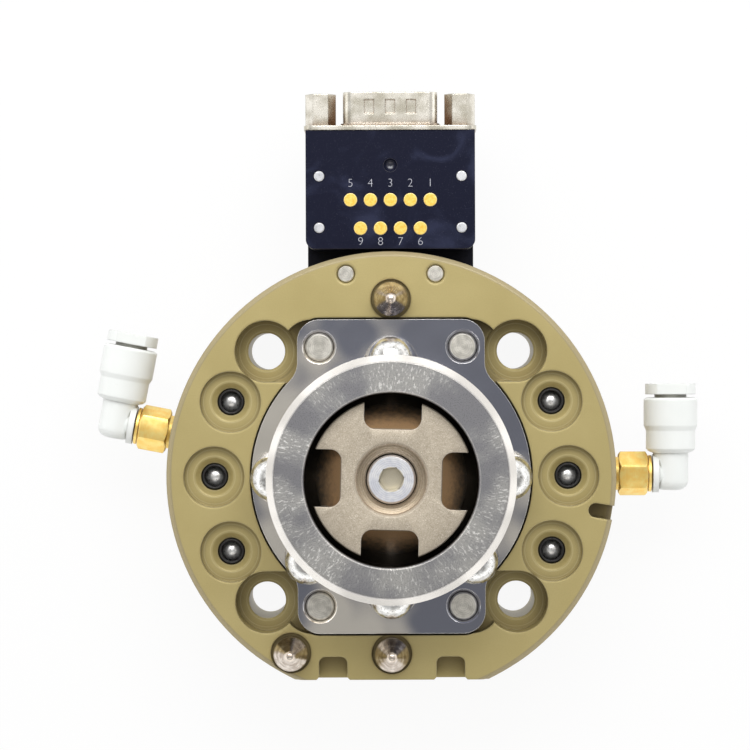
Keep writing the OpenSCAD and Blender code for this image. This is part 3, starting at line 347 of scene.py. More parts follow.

# %% [markdown]
# ## Steels
#
# The lock ring is hardened steel whose top was ground and then rubbed by hand, which leaves short
# strokes across the ring and finer turned lines along it. Its flange is polished. The cam is blasted
# and dull, the pins are turned, the balls are lapped like mirrors. One node holds each of these
# pieces, so the finish changes by height and radius within one material. Some light is painted into
# the colours: the ring's sheen, the bright chamfer, the flange's reflections, bright edges, sparkle on
# the cam, and shade in gaps, in the bore and on the cam's flanks.

# %% Steel finishes
def ground_steel():
    f = Finish("ground_steel", Metallic=1.0)
    radius = f.distance()
    high = f.part("Z")
    top = high.step(RING_TOP - 0.3, RING_TOP - 0.1)
    chamfer = radius.step(RING_R - 1.28, RING_R - 1.1) * high.step(RING_TOP - 1.6, RING_TOP - 1.3)
    lip = radius.band(RING_R - 1.44, RING_R - 1.3, 0.08) * top
    flange = high.step(FACE_Z + 4, FACE_Z + 2)
    inside = radius.step(CAVITY_R + 0.4, CAVITY_R + 0.2) * (1 - top)
    strokes = f.noise(1.0, 3, f.polar((0, 0), 62, 1.1), distortion=0.6).step(0.54, 0.66)
    # patch: brighter and darker sectors round the ring, a painted sheen. The strokes are real marks,
    # painted bright only where that sheen falls.
    patch = f.noise(1.0, 2, f.polar((0, 0), 2.2, 0.1)).step(0.36, 0.66)
    grit = f.noise(5.5, 4)
    cloud = f.noise(0.055, 2, f.shifted((-9, 14, 0)))
    colour = f.tint(patch, shade(152, 151, 154), shade(192, 190, 186))
    colour = f.tint(strokes * patch * 0.9, colour, shade(252, 250, 246))
    colour = f.tint(grit.step(0.52, 0.66) * 0.55, colour, shade(96, 96, 102))
    # Painted reflection on the flange: light and dark clouds, brighter towards -X and +Y.
    shine = cloud * 1.7 - 0.35 + f.part("Y") * 0.002 - f.part("X") * 0.006
    painted_flange_reflection = f.tint(shine.step(0.38, 0.64), shade(150, 152, 164), shade(255, 248, 236))
    colour = f.tint(flange, colour, painted_flange_reflection)
    # The chamfer is painted brighter than the top: painted reflection.
    colour = f.tint(chamfer, colour, f.tint(patch, shade(206, 202, 196), shade(236, 232, 226)))
    colour = f.tint(lip * 0.5, colour, shade(120, 116, 112))
    # Painted highlight on the edges.
    colour = f.tint(f.edges(0.2) * 0.8, colour, shade(255, 251, 244))
    # Painted shade in narrow gaps and corners.
    colour = f.tint(f.painted_gap_shade(0.6) * 0.7, colour, shade(70, 56, 44))
    # inside: painted shade, near black, down the bore under the ring.
    colour = f.tint(inside * 0.9, colour, shade(36, 30, 26))
    rough = 0.16 + top * 0.16 + grit * 0.1 - chamfer * 0.02 - flange * 0.06
    f.give(Base_Color=colour, Roughness=rough)
    lines = strokes * patch * top + grit * (top * 0.6 + 0.1)
    f.relief(lines * (1 - chamfer * 0.8) + cloud * flange * 14, 0.009, 0.1)
    return f.material


def bearing_steel(name, metallic, rough):
    f = Finish(name, Metallic=metallic)
    film = f.noise(1.1, 4)
    speck = f.noise(3.0, 3).step(0.6, 0.66)
    colour = f.tint(film.step(0.3, 0.7), shade(208, 206, 202), shade(246, 246, 244))
    f.give(Base_Color=f.tint(speck * 0.6, colour, shade(90, 84, 78)), Roughness=film * 0.16 + rough)
    f.relief(film + speck * 0.3, 0.012, 0.05)
    return f.material


def cam_steel():
    f = Finish("cam_steel", Metallic=0.5)
    radius = f.distance()
    mottle = f.noise(1.3, 5)
    grit = f.noise(8.0, 3)
    recess = radius.step(6.3, 5.9)
    rings = (radius * 16).sine() * recess
    flank = f.part("Z").step(CAM_TOP - 0.25, CAM_TOP - 0.7) * (1 - recess)
    painted_shadow_outward = (radius + mottle * 3).step(11, 15)
    colour = f.tint(mottle, shade(170, 157, 138), shade(204, 193, 174))
    colour = f.tint(grit.step(0.56, 0.68) * 0.5, colour, shade(112, 100, 86))
    # Pale specks: painted glints.
    colour = f.tint(grit.step(0.42, 0.32) * 0.6, colour, shade(246, 240, 228))
    # Painted shade on the flanks and slot floors: warm brown near the axis, near black further out.
    colour = f.tint(flank * 0.85, colour, f.tint(painted_shadow_outward, shade(200, 156, 108), shade(50, 40, 32)))
    colour = f.tint(recess * 0.45, colour, shade(138, 116, 84))
    colour = f.tint(rings.step(0.5, 1.0) * 0.3, colour, shade(226, 212, 182))
    # Painted highlight along the rims.
    colour = f.tint(f.edges(0.12) * 0.75, colour, shade(250, 244, 232))
    f.give(Base_Color=colour, Roughness=0.42 + grit * 0.16 - recess * 0.12 - flank * 0.2)
    f.relief(grit * 0.5 + mottle * 0.3 + rings * 0.5, 0.014, 0.2)
    return f.material


def turned_steel(name, dark, light, rough, centres=((0, 0),), pitch=18.0, socket_r=0.0):
    """Steel turned about upright axes: screws, pins, the piston and the covers."""
    f = Finish(name, Metallic=1.0)
    near = nearest(f, [Vector((*c, 0)) for c in centres])
    rings = (near * pitch + f.part("Z") * pitch).sine()
    stain = f.noise(0.9, 4)
    grit = f.noise(7.0, 3)
    colour = f.tint(stain.step(0.3, 0.7), shade(*dark), shade(*light))
    colour = f.tint(grit.step(0.58, 0.7) * 0.35, colour, shade(*[v * 0.55 for v in dark]))
    colour = f.tint(rings.step(0.2, 1.0) * 0.2, colour, shade(*[v * 0.6 for v in dark]))
    colour = f.tint(near.step(socket_r, socket_r - 0.15) * 0.8, colour, shade(214, 203, 172))
    # Painted highlight on the edges.
    colour = f.tint(f.edges(0.14) * 0.7, colour, shade(252, 248, 240))
    # Painted shade in gaps and corners, as dark outlines.
    colour = f.tint(f.painted_gap_shade(0.8, 0.25, 0.8) * 0.8, colour, shade(58, 46, 36))
    f.give(Base_Color=colour, Roughness=rough + grit * 0.12 + stain * 0.06)
    f.relief(rings * 0.3 + grit * 0.5, 0.008, 0.1)
    return f.material


print("ring top at", round(RING_TOP, 2), "mm, cam top at", round(CAM_TOP, 2), "mm")

# %% [markdown]
# ## Rubber, plastics and platings
#
# Black parts are never black: rubber has a soft sheen, and the moulded block is a very dark blue with
# tiny glints and a wiped, dusty look. White fittings are a translucent resin that is nearly smooth.
# Gold, nickel and brass are platings or turned bar, each with its own small marks. Most of them also
# get painted highlights on their edges and painted shade in their gaps.

# %% Rubber, plastic, gold, nickel and brass
def rubber():
    f = Finish("black_rubber", Specular_IOR_Level=0.4)
    grain = f.noise(3.0, 4)
    dust = f.noise(1.1, 3).step(0.55, 0.8)
    colour = f.tint(grain, shade(20, 20, 21), shade(36, 35, 35))
    colour = f.tint(dust * 0.3, colour, shade(92, 90, 84))
    # Edges painted grey: painted highlight.
    colour = f.tint(f.edges(0.2) * 0.3, colour, shade(86, 84, 82))
    f.give(Base_Color=colour, Roughness=0.24 + grain * 0.2)
    f.relief(grain, 0.01, 0.2)
    return f.material


def dark_finish(name, deep, dusty, rough, glints):
    """Black plastic or black anodising: deep colour, wiped dust, tiny glints and paler edges."""
    f = Finish(name, Specular_IOR_Level=0.12)
    cloud = f.noise(0.11, 5, distortion=1.2)
    grain = f.noise(5.0, 4)
    glint = f.noise(9.0, 1).step(0.7, 0.76) * glints
    hair = f.noise(1.0, 2, f.shifted(stretch=(0.2, 9, 9), turn=0.35)).step(0.7, 0.8)
    colour = f.tint(cloud.step(0.46, 0.75), shade(*deep), shade(*dusty))
    colour = f.tint(glint * 0.6 + hair * 0.12, colour, shade(120, 122, 140))
    colour = f.tint(f.edges(0.15) * 0.6, colour, shade(116, 112, 112))
    f.give(Base_Color=colour, Roughness=rough + grain * 0.15 - cloud * 0.12)
    f.relief(grain + glint * 0.4, 0.012, 0.2)
    return f.material


def gold_plate():
    f = Finish("gold_plate", Metallic=0.9)
    grain = f.noise(6.0, 4)
    wear = f.noise(2.2, 3)
    colour = f.tint(wear.step(0.3, 0.7), shade(252, 202, 84), shade(255, 224, 126))
    colour = f.tint(grain.step(0.55, 0.7) * 0.25, colour, shade(226, 156, 44))
    # Painted highlight on the edges.
    f.give(Base_Color=f.tint(f.edges(0.3) * 0.8, colour, shade(255, 246, 196)))
    f.give(Roughness=0.3 + grain * 0.2)
    f.relief(grain, 0.014, 0.2)
    return f.material


def plated(name, dark, light, rough):
    """Satin nickel on formed sheet and on the jack posts, and bare rivet metal."""
    f = Finish(name, Metallic=0.9)
    pits = f.noise(4.5, 4)
    drift = f.noise(0.35, 3)
    colour = f.tint(drift.step(0.3, 0.7), shade(*dark), shade(*light))
    colour = f.tint(pits.step(0.56, 0.68) * 0.4, colour, shade(128, 118, 96))
    # Painted shade and reflection, brown, on faces close to other parts such as the jack posts' inner
    # facets.
    colour = f.tint(f.painted_gap_shade(3.0, 0.2, 0.55) * 0.85, colour, shade(128, 86, 38))
    # Painted highlight on the edges.
    colour = f.tint(f.edges(0.2) * 0.3, colour, shade(254, 251, 242))
    f.give(Base_Color=colour, Roughness=rough + pits * 0.15)
    f.relief(pits, 0.003, 0.3)
    return f.material


def turned_brass():
    f = Finish("turned_brass", Metallic=1.0)
    stain = f.noise(0.8, 4)
    lines = f.noise(1.0, 3, f.shifted(stretch=(9, 0.8, 0.8)))
    colour = f.tint(stain.step(0.3, 0.7), shade(255, 214, 118), shade(255, 230, 148))
    colour = f.tint(lines.step(0.55, 0.8) * 0.35, colour, shade(232, 158, 60))
    # Painted shade, dark orange, in gaps and corners.
    colour = f.tint(f.painted_gap_shade(0.8) * 0.8, colour, shade(140, 70, 18))
    # Painted highlight on the edges.
    colour = f.tint(f.edges(0.14) * 0.6, colour, shade(255, 248, 214))
    f.give(Base_Color=colour, Roughness=0.36 + lines * 0.12)
    f.relief(lines + stain * 0.4, 0.01, 0.14)
    return f.material


def white_resin():
    f = Finish("white_resin", Coat_Weight=0.1, Coat_Roughness=0.2)
    drift = f.noise(0.15, 3)
    grain = f.noise(4.0, 3)
    speck = f.noise(1.6, 1).step(0.76, 0.8)
    colour = f.tint(drift, shade(227, 230, 227), shade(235, 237, 235))
    # Painted shade, olive grey, in narrow gaps such as under the release buttons.
    colour = f.tint(f.painted_gap_shade(1.0) * 0.85, colour, shade(120, 112, 84))
    f.give(Base_Color=f.tint(speck * 0.15, colour, shade(186, 182, 170)))
    f.give(Roughness=0.36 + grain * 0.1)
    f.relief(grain * 0.4 + drift, 0.012, 0.35)
    return f.material


print("finishes for rubber, plastic, gold, nickel, brass and resin are ready")

# %% [markdown]
# ## Every node gets its finish
#
# The record names a material slot for each node. One table turns those slots into the finishes above,
# so a piece that is hidden inside, such as the lock spring, is finished as carefully as the plate. The
# valve balls in the ports share the lock balls' slot, but lie deep in rubber and are a little duller.

# %% Dress the nodes
CAGE_SCREW_R, BRACKET_SCREW_R = 4.25, 2.75
SOCKET_R = 2.25    # the hexagon socket in the cam's screw, where it looks brown
PIN_RINGS = 9.0    # the cones of the pins are turned more coarsely than the rest


def corners(node, inset):
    """The four upright axes that lie inset millimetres inside the corners of a node's box."""
    low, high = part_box(node)
    xs = (low.x / MM + inset, high.x / MM - inset)
    ys = (low.y / MM + inset, high.y / MM - inset)
    return [(x, y) for x in xs for y in ys]


pin_axes = [(place.x, place.y) for place in pin_places.values()]
screw_axes = corners("cage_screws", CAGE_SCREW_R) + corners("bracket_screws", BRACKET_SCREW_R)
finishes = {
    "olive_anodised": olive_anodised(),
    "ground_steel": ground_steel(),
    "bearing_steel": bearing_steel("bearing_steel", 1.0, 0.16),
    "valve_ball": bearing_steel("valve_ball", 0.8, 0.22),
    "cam_steel": cam_steel(),
    "zinc_screw": turned_steel(
        "zinc_screw", (232, 234, 242), (252, 252, 254), 0.3, socket_r=SOCKET_R
    ),
    "steel_screw": turned_steel("steel_screw", (196, 192, 182), (230, 226, 216), 0.3, screw_axes),
    "turned_alloy": turned_steel("turned_alloy", (168, 170, 174), (196, 198, 202), 0.3),
    "pin_steel": turned_steel(
        "pin_steel", (184, 168, 152), (238, 227, 214), 0.16, pin_axes, PIN_RINGS
    ),
    "black_rubber": rubber(),
    "spring_steel": turned_steel("spring_steel", (120, 122, 128), (158, 160, 166), 0.3),
    "black_anodised": dark_finish("black_anodised", (10, 10, 18), (22, 23, 34), 0.36, 0.4),
    "black_plastic": dark_finish("black_plastic", (15, 18, 38), (40, 44, 66), 0.42, 1.0),
    "gold_plate": gold_plate(),
    "rivet_metal": plated("rivet_metal", (190, 192, 196), (226, 227, 230), 0.3),
    "nickel_shell": plated("nickel_shell", (196, 190, 174), (246, 241, 230), 0.2),
    "brass": turned_brass(),
    "white_plastic": white_resin(),
}
for row in frame["record"]["subparts"]:
    node = frame["nodes"][row["node"]]
    for slot in node.material_slots:
        slot.material = finishes[row["material_slot"]]
for i in range(1, 7):
    frame["nodes"][f"port_ball_{i}"].material_slots[0].material = finishes["valve_ball"]

# %% [markdown]
# ## The printed contact numbers
#
# The nine pads are numbered for whoever wires them. The numbers are printed in thin pale ink, so they
# are real shapes about a hundredth of a millimetre proud of the block: text turned to a mesh. A drawn
# texture would blur when someone looks closely. The upper row counts down from 5 and the lower from 9.

# %% Print the numbers 1 to 9
pad_low, pad_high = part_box("contact_pads")
PAD_R = 1.18
PAD_PITCH = (pad_high.x - pad_low.x) / MM / 4 - 2 * PAD_R / 4
UPPER_ROW = pad_high.y / MM - PAD_R + 2.95
LOWER_ROW = pad_low.y / MM + PAD_R - 2.4
TEXT_SIZE = 1.55 * 1.38    # a digit is 1.55 mm high, and a text's size counts the space above it
THINNER = -0.05            # how far a digit's outline is drawn in
INK_DEPTH = 0.012


def ink():
    f = Finish("number_ink")
    patchy = f.noise(3.5, 3)
    f.give(Base_Color=f.tint(patchy, shade(126, 128, 142), shade(214, 215, 222)))
    f.give(Roughness=0.5 + patchy * 0.2)
    f.relief(patchy, 0.004, 0.02)
    return f.material


number_ink = ink()


def print_number(text, x, y):
    """One number as a mesh, centred on x and y on top of the block."""
    bpy.ops.object.select_all(action="DESELECT")
    bpy.ops.object.text_add(location=(0, 0, 0))
    sign = bpy.context.object
    sign.data.body = text
    sign.data.align_x = "CENTER"
    sign.data.align_y = "CENTER"
    sign.data.size = TEXT_SIZE * MM
    sign.data.offset = THINNER * MM
    sign.data.extrude = INK_DEPTH * MM
    bpy.ops.object.convert(target="MESH")
    sign.name = f"contact_number_{text}"
    sign.location = (x * MM, y * MM, top_of("contact_block") * MM)
    bpy.ops.object.transform_apply(location=True, rotation=True, scale=True)
    sign.data.materials.clear()
    sign.data.materials.append(number_ink)
    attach(sign, "base")
    return sign


numbers = [print_number(str(5 - i), (i - 2) * PAD_PITCH, UPPER_ROW) for i in range(5)]
numbers += [print_number(str(9 - i), (i - 1.5) * PAD_PITCH, LOWER_ROW) for i in range(4)]
print(len(numbers), "numbers printed, pad pitch", round(PAD_PITCH, 3), "mm")

# %% [markdown]
# ## Turning a blank
#
# The cam and the brass stems are lathe work: each is a stack of steps on one axis. By hand that is a
# cylinder whose end face is pulled out and made wider or narrower, again and again. The list of
# steps holds a radius and a height for each, so one helper serves every such piece. Two more helpers
# cut one piece with another and bevel the sharp edges.

# %% A helper that turns a blank on the lathe
FACETS = 96


def select_only(piece):
    bpy.ops.object.select_all(action="DESELECT")
    piece.select_set(True)
    bpy.context.view_layer.objects.active = piece


def pick(piece, kind, test):
    """Go to edit mode with only the faces, or edges, that pass the test selected."""
    select_only(piece)
    bpy.ops.object.mode_set(mode="EDIT")
    bpy.ops.mesh.select_mode(type=kind)
    bpy.ops.mesh.select_all(action="DESELECT")
    bpy.ops.object.mode_set(mode="OBJECT")
    for part in piece.data.polygons if kind == "FACE" else piece.data.edges:
        part.select = test(part)
    bpy.ops.object.mode_set(mode="EDIT")


def turned_blank(name, steps, facets=FACETS):
    """A closed solid round the Z axis; steps lists radius and height in mm, from the foot up."""
    (radius, low), (_, high) = steps[:2]
    middle_z = (low + high) / 2 * MM
    bpy.ops.object.select_all(action="DESELECT")
    sizes = {"radius": radius * MM, "depth": (high - low) * MM}
    bpy.ops.mesh.primitive_cylinder_add(vertices=facets, location=(0, 0, middle_z), **sizes)
    blank = bpy.context.object
    blank.name = name
    bpy.ops.object.transform_apply(location=True, rotation=True, scale=True)
    pick(blank, "FACE", lambda face: face.normal.z > 0.9)
    for new_radius, new_high in steps[2:]:
        pull = {"value": (0, 0, (new_high - high) * MM)}
        bpy.ops.mesh.extrude_region_move(TRANSFORM_OT_translate=pull)
        ratio = new_radius / radius
        bpy.ops.transform.resize(value=(ratio, ratio, 1), center_override=(0, 0, new_high * MM))
        radius, high = new_radius, new_high
    bpy.ops.mesh.select_all(action="SELECT")
    bpy.ops.mesh.normals_make_consistent(inside=False)
    bpy.ops.object.mode_set(mode="OBJECT")
    return blank


def cut(piece, tool, operation="DIFFERENCE"):
    """Cut a tool from a piece, or join or overlap them, and throw the tool away."""
    select_only(piece)
    carve = piece.modifiers.new("carve", "BOOLEAN")
    carve.operation = operation
    carve.solver = "EXACT"
    carve.object = tool
    bpy.ops.object.modifier_apply(modifier=carve.name)
    bpy.data.objects.remove(tool, do_unlink=True)


def soften(piece, width, angle=35):
    """A small bevel on every sharp edge, then smooth shading that stops at what stays sharp."""
    select_only(piece)
    bevel = piece.modifiers.new("soften", "BEVEL")
    bevel.width = width * MM
    bevel.segments = 2
    bevel.limit_method = "ANGLE"
    bevel.angle_limit = math.radians(angle)
    bevel.use_clamp_overlap = True
    bpy.ops.object.modifier_apply(modifier=bevel.name)
    bpy.ops.object.shade_smooth_by_angle(angle=math.radians(angle))


print("a blank has", FACETS, "facets round its axis")

# %% [markdown]
# ## The cam with its four slots
#
# The slotted cam is what the eye rests on. Each slot is milled with a round cutter, so its inner
# corners are round and its floor runs down along the wedge that pushes a ball out. The solid has
# these slots too, with square corners. A blank is turned, four slot tools are cut from it, and the
# sharp rims get the small bevel that makes them shine. The heights follow the solid cam's own box.

# %% Turn the cam and mill its slots
CAM_TURN = math.radians(-1.6)
SPIGOT_R, HUB_R, FOOT_R, NECK_R, HEAD_R = 4, 6, 17.9, 13.15, 14.23
RECESS_R, SEAT_R = 6.07, 4.5
RECESS_FLOOR = CAM_TOP - 2.6
SEAT = CAM_TOP - 6.3
SLOT_W = 10
SLOT_START = 8.7
SLOT_CORNER = 2
TOOL_LONG, TOOL_HIGH = 14, 20
TOOL_MIDDLE = CAM_TOP - 9
WEDGE = 0.858    # how far a ball goes out for each millimetre the piston rises


def slot_tool(angle):
    """A long block with round upright edges, cut off along the wedge's slope."""
    bpy.ops.object.select_all(action="DESELECT")
    bpy.ops.mesh.primitive_cube_add(size=1)
    tool = bpy.context.object
    tool.scale = (TOOL_LONG * MM, SLOT_W * MM, TOOL_HIGH * MM)
    tool.location = ((SLOT_START + TOOL_LONG / 2) * MM, 0, TOOL_MIDDLE * MM)
    bpy.ops.object.transform_apply(location=True, rotation=True, scale=True)

    def inner_upright(edge):
        low, high = [tool.data.vertices[i].co for i in edge.vertices]
        return abs(low.z - high.z) > MM and low.x < (SLOT_START + 1) * MM

    pick(tool, "EDGE", inner_upright)
    bpy.ops.mesh.bevel(offset=SLOT_CORNER * MM, segments=8)
    bpy.ops.mesh.select_all(action="SELECT")
    start = ((SLOT_START - 0.3) * MM, 0, CAM_TOP * MM)
    bpy.ops.mesh.bisect(plane_co=start, plane_no=(1, 0, WEDGE), use_fill=True, clear_inner=True)
    bpy.ops.mesh.select_all(action="SELECT")
    bpy.ops.mesh.normals_make_consistent(inside=False)
    bpy.ops.object.mode_set(mode="OBJECT")
    tool.rotation_euler = (0, 0, CAM_TURN + angle)
    bpy.ops.object.transform_apply(location=True, rotation=True, scale=True)
    return tool


cam_foot = foot_of("cam")
hub_foot = cam_foot + 1.2
flange_foot = FACE_Z + 2
cam_steps = [(SPIGOT_R, cam_foot), (SPIGOT_R, hub_foot), (HUB_R, hub_foot), (HUB_R, flange_foot)]
cam_steps += [(FOOT_R, flange_foot), (FOOT_R, CAM_TOP - 11.08), (NECK_R, CAM_TOP - 5.54)]
cam_steps += [(NECK_R, CAM_TOP - 2.38), (HEAD_R, CAM_TOP - 1.3), (HEAD_R, CAM_TOP - 0.2)]
cam_steps += [(HEAD_R - 0.2, CAM_TOP), (RECESS_R + 0.5, CAM_TOP), (RECESS_R, CAM_TOP - 0.5)]
cam_steps += [(RECESS_R, RECESS_FLOOR), (SEAT_R, RECESS_FLOOR - 0.3), (SEAT_R, SEAT)]
slotted_cam = turned_blank("slotted_cam", cam_steps)
for i in range(4):
    cut(slotted_cam, slot_tool(i * math.pi / 2))
soften(slotted_cam, 0.14)
slotted_cam.data.materials.append(finishes["cam_steel"])
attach(slotted_cam, "piston")
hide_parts("cam")
print("cam", HEAD_R * 2, "mm across its head,", len(slotted_cam.data.polygons), "faces")

# %% [markdown]
# ## The brass stems
#
# Each elbow swivels on a brass stem with a hexagon for the spanner. A real hexagon is bar stock
# whose ends are turned to a chamfer, which leaves curved corners on each flat. So a six-sided bar is
# overlapped with a turned blank, and the result is joined to the turned stem. How far the thread has
# run decides which corner is up, and that differs between the two.

# %% Turn the stems and their hexagons
STEM_FACETS = 48
SPANNER = 7
HEX_R = SPANNER / math.sqrt(3)
HEX_LOW, HEX_HIGH = BODY_R + 1, BODY_R + 6.2
CHAMFER_R, CHAMFER = SPANNER / 2, 0.35
THREAD_R, SHANK_R, COLLAR_R, PIVOT_R = 2.1, 3, 3.3, 1.9
THREAD_END, COLLAR_LOW, COLLAR_HIGH = BODY_R - 5.7, HEX_HIGH + 0.2, BODY_R + 6.9
PIVOT_END = BODY_R + 9.18
PORT_Z = mounts["side_port_2"]["pos_m"][2] / MM
stem_steps = [(THREAD_R, THREAD_END), (THREAD_R, BODY_R), (SHANK_R, BODY_R)]
stem_steps += [(SHANK_R, COLLAR_LOW), (COLLAR_R, COLLAR_LOW), (COLLAR_R, COLLAR_HIGH)]
stem_steps += [(PIVOT_R, COLLAR_HIGH), (PIVOT_R, PIVOT_END)]
chamfer_steps = [(CHAMFER_R, HEX_LOW - 0.1), (CHAMFER_R, HEX_LOW), (HEX_R, HEX_LOW + CHAMFER)]
chamfer_steps += [(HEX_R, HEX_HIGH - CHAMFER), (CHAMFER_R, HEX_HIGH), (CHAMFER_R, HEX_HIGH + 0.1)]


def brass_stem(side, port_angle, hex_turn):
    """One stem, turned on the Z axis and then laid on its port's axis."""
    stem = turned_blank("brass_stem_" + side, stem_steps, STEM_FACETS)
    halfway = ((HEX_LOW + HEX_HIGH) / 2) * MM
    sizes = {"radius": HEX_R * MM, "depth": (HEX_HIGH - HEX_LOW) * MM, "location": (0, 0, halfway)}
    turn = (0, 0, math.radians(hex_turn))
    bpy.ops.object.select_all(action="DESELECT")
    bpy.ops.mesh.primitive_cylinder_add(vertices=6, rotation=turn, **sizes)
    hexagon = bpy.context.object
    bpy.ops.object.transform_apply(location=True, rotation=True, scale=True)
    cut(hexagon, turned_blank("chamfers", chamfer_steps, STEM_FACETS), "INTERSECT")
    cut(stem, hexagon, "UNION")
    soften(stem, 0.08)
    stem.rotation_euler = (0, math.pi / 2, math.radians(port_angle))
    stem.location = (0, 0, PORT_Z * MM)
    bpy.ops.object.transform_apply(location=True, rotation=True, scale=True)
    stem.data.materials.append(finishes["brass"])
    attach(stem, "base")
    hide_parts("fitting_stem_" + side)
    return stem


RIGHT_PORT, LEFT_PORT = 0, 169
stems = [brass_stem("right", RIGHT_PORT, 9), brass_stem("left", LEFT_PORT, 4)]
print(len(stems), "stems, hexagon", round(HEX_R * 2, 2), "mm across its corners")

# %% [markdown]
# ## Copies of the springs
#
# A spring rests on one piece and is pressed by another that moves, so it must grow shorter as the
# piston or a valve ball comes down. A CAD node can't change its shape. Each spring that a joint lists
# is copied, its loose triangles are merged, and the copy takes the node's place at its full length.

# %% Copy the springs that the joints list
WELD = 0.001    # vertices closer than this are one
SMOOTH_ANGLE = math.radians(50)


def live_spring(node, travel):
    """A merged and smoothly shaded copy of a spring, which takes the node's place."""
    spring = bpy.data.objects.new("live_" + node, frame["nodes"][node].data.copy())
    bpy.context.collection.objects.link(spring)
    select_only(spring)
    bpy.ops.mesh.customdata_custom_splitnormals_clear()
    bpy.ops.object.mode_set(mode="EDIT")
    bpy.ops.mesh.select_all(action="SELECT")
    bpy.ops.mesh.remove_doubles(threshold=WELD * MM)
    bpy.ops.object.mode_set(mode="OBJECT")
    bpy.ops.object.shade_smooth_by_angle(angle=SMOOTH_ANGLE)
    low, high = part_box(node)
    length = high.z - low.z
    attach(spring, "base")
    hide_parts(node)
    1 - travel / length
    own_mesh(spring)
    return spring


springs = []
for joint in frame["record"]["behaviour"]["joints"]:
    for row in joint.get("deforming_nodes", []):
        travel = abs(joint["range_m"][0])
        springs.append(live_spring(row["node"], travel))
print(len(springs), "springs follow their joints")

# %% [markdown]
# ## The dimple in the block
#
# The moulded block has one shallow round dimple above its numbers, left by a moulding pin. In the CAD
# it is a plain blind hole, so here a smooth bowl lines it: a sphere cut in half and turned hollow side
# up. Its far side catches the light as a small bright crescent.

# %% Line the blind hole with a bowl
HOLE_R = 1.2
HOLE_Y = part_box("contact_block")[1].y / MM - 6.3
BOWL_DEPTH = 1.0
RIM_BELOW = 0.12    # how far the bowl's rim lies under the block's face


def polished_bowl():
    """The block's own black plastic, but left glossy by the moulding pin."""
    f = Finish("polished_bowl", Specular_IOR_Level=0.9)
    ripple = f.noise(2.4, 3)
    colour = f.tint(ripple, shade(16, 19, 38), shade(34, 38, 58))
    # Painted highlight on the rim.
    colour = f.tint(f.edges(0.15) * 0.5, colour, shade(120, 120, 136))
    f.give(Base_Color=colour, Roughness=0.16 + ripple * 0.12)
    f.relief(ripple, 0.03, 0.1)
    return f.material


def block_dimple():
    bpy.ops.object.select_all(action="DESELECT")
    bpy.ops.mesh.primitive_uv_sphere_add(segments=48, ring_count=24, radius=HOLE_R * MM)
    bowl = bpy.context.object
    bowl.name = "block_dimple"
    bpy.ops.object.mode_set(mode="EDIT")
    bpy.ops.mesh.select_all(action="SELECT")
    bpy.ops.mesh.bisect(plane_co=(0, 0, 0), plane_no=(0, 0, 1), clear_outer=True)
    bpy.ops.mesh.select_all(action="SELECT")
    bpy.ops.transform.resize(value=(1, 1, BOWL_DEPTH / HOLE_R))
    bpy.ops.mesh.normals_make_consistent(inside=True)
    bpy.ops.object.mode_set(mode="OBJECT")
    bpy.ops.object.shade_smooth()
    bowl.location = (0, HOLE_Y * MM, (top_of("contact_block") - RIM_BELOW) * MM)
    bpy.ops.object.transform_apply(location=True, rotation=True, scale=True)
    bowl.data.materials.append(polished_bowl())
    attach(bowl, "base")
    return bowl


dimple = block_dimple()
print("dimple bowl", HOLE_R * 2, "mm across,", len(dimple.data.polygons), "faces")

# %% [markdown]
# ## The floor
#
# The plate stands on its pilot boss on a white table. The camera, and every mirror, sees the table
# mostly as a glow, so that it stays evenly pale. Other rays meet plain matt paper.

# %% Lay the floor
FLOOR_R = 1.6
FLOOR_Z = cad_bounds[0][2]
GLOW_SHARE = 0.92
bpy.ops.object.select_all(action="DESELECT")
bpy.ops.mesh.primitive_circle_add(vertices=96, radius=FLOOR_R, fill_type="NGON")
floor = bpy.context.object
floor.name = "floor"
floor.location.z = FLOOR_Z

table = bpy.data.materials.new("table_white")
table.use_nodes = True
tree = Nodes(table.node_tree)
rays = tree.add("ShaderNodeLightPath", output="Is Camera Ray")
seen = rays.most(rays.other("Is Glossy Ray")).most(rays.other("Is Transmission Ray"))
paper = tree.add("ShaderNodeBsdfDiffuse", {}, {"Color": (0.86, 0.86, 0.86)})
glow = tree.add("ShaderNodeEmission", {}, {"Color": (1, 1, 1), "Strength": 1.0})
mixed = tree.add("ShaderNodeMixShader", {}, {0: seen * GLOW_SHARE, 1: paper, 2: glow})
tree.plug(table.node_tree.nodes["Material Output"].inputs["Surface"], mixed)
floor.data.materials.append(table)
print("floor at", round(FLOOR_Z / MM, 2), "mm")

# %% [markdown]
# ## The room
#
# Metal shows what it reflects, so the room matters more than the lamps. It is bright near the floor
# and dimmer overhead, with a brighter patch high up beyond the connector.

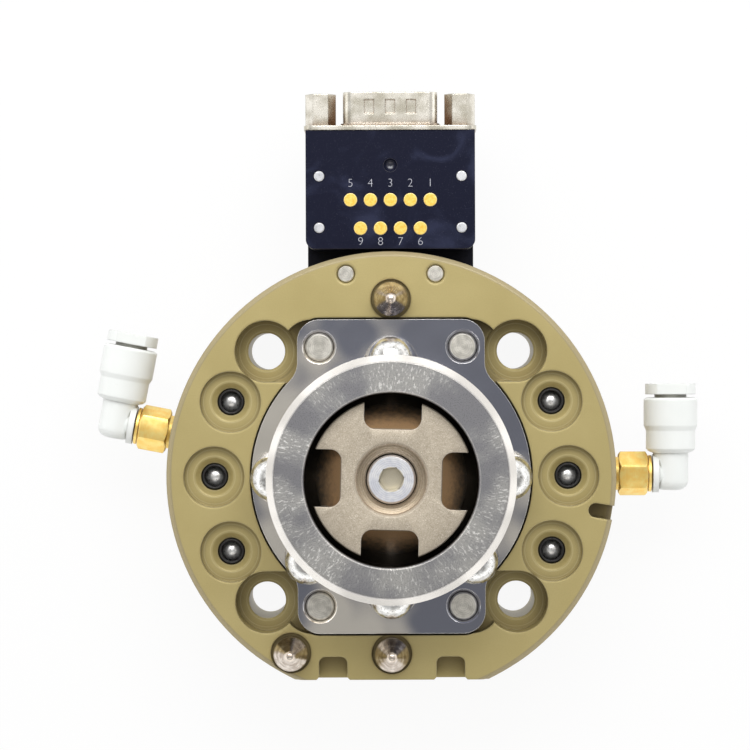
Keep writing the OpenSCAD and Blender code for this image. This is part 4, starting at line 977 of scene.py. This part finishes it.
# %% Make the room
world = bpy.data.worlds.new("studio")
bpy.context.scene.world = world
world.use_nodes = True
tree = Nodes(world.node_tree)
way = tree.add("ShaderNodeTexCoord", output="Generated")
height = tree.add("ShaderNodeSeparateXYZ", {}, {0: way}, output="Z")
north = tree.add("ShaderNodeSeparateXYZ", {}, {0: way}, output="Y")
window = north.step(-0.02, 0.14) * height.step(0.5, 0.75)
LOW_LIGHT, OVERHEAD_DROP, PATCH_LIGHT = 1.6, 1.25, 0.6
strength = LOW_LIGHT - height.step(0.05, 0.62) * OVERHEAD_DROP + window * PATCH_LIGHT
tree.plug(world.node_tree.nodes["Background"].inputs["Strength"], strength)
world.node_tree.nodes["Background"].inputs["Color"].default_value = (1, 1, 1, 1)
print("room strength", LOW_LIGHT, "near the floor and", round(LOW_LIGHT - OVERHEAD_DROP, 2), "overhead")

# %% [markdown]
# ## Two soft lights
#
# One wide soft light stands beyond the connector and a weaker, warmer one on the near side. Both face
# the plate, and the camera doesn't see them.

# %% Set up the lights
TARGET = Vector((0, 10 * MM, FACE_Z * MM))


def softbox(name, place, size, power, colour=(1, 1, 1)):
    """A rectangular soft light that faces the plate."""
    lamp = bpy.data.lights.new(name, "AREA")
    lamp.shape = "RECTANGLE"
    lamp.size, lamp.size_y = size
    lamp.energy = power
    lamp.color = colour
    light = bpy.data.objects.new(name, lamp)
    bpy.context.collection.objects.link(light)
    light.location = Vector(place)
    light.rotation_euler = (TARGET - light.location).to_track_quat("-Z", "Y").to_euler()
    light.visible_camera = False
    return light


lights = [
    softbox("far_softbox", (0.0, 0.25, 0.31), (0.40, 0.18), 1.1),
    softbox("near_softbox", (0, -0.52, 0.80), (0.8, 0.25), 0.7, (1.0, 0.96, 0.9)),
]
print(len(lights), "lights of", [round(light.data.energy, 2) for light in lights], "watts")

# %% [markdown]
# ## The camera
#
# The lens is long and looks straight down from 600 mm above the tool face, so the sides of the plate
# hardly show. A small roll and shift set the object where it stands in the frame.

# %% Place the camera
LENS_HEIGHT = 600
LENS = 162.2
CAMERA_X, CAMERA_Y = 0.2, 22.45
ROLL = math.radians(-0.2)
camera_data = bpy.data.cameras.new("camera")
camera = bpy.data.objects.new("camera", camera_data)
bpy.context.collection.objects.link(camera)
camera.location = (CAMERA_X * MM, CAMERA_Y * MM, (FACE_Z + LENS_HEIGHT) * MM)
camera.rotation_euler = (0, 0, ROLL)
camera_data.lens = LENS
camera_data.sensor_width = 36
camera_data.shift_x = -0.0227
camera_data.shift_y = -0.0333
camera_data.clip_start = 0.01
camera_data.clip_end = 10
bpy.context.scene.camera = camera
bpy.context.scene.view_settings.view_transform = "Standard"
print("camera", LENS_HEIGHT, "mm above the tool face")
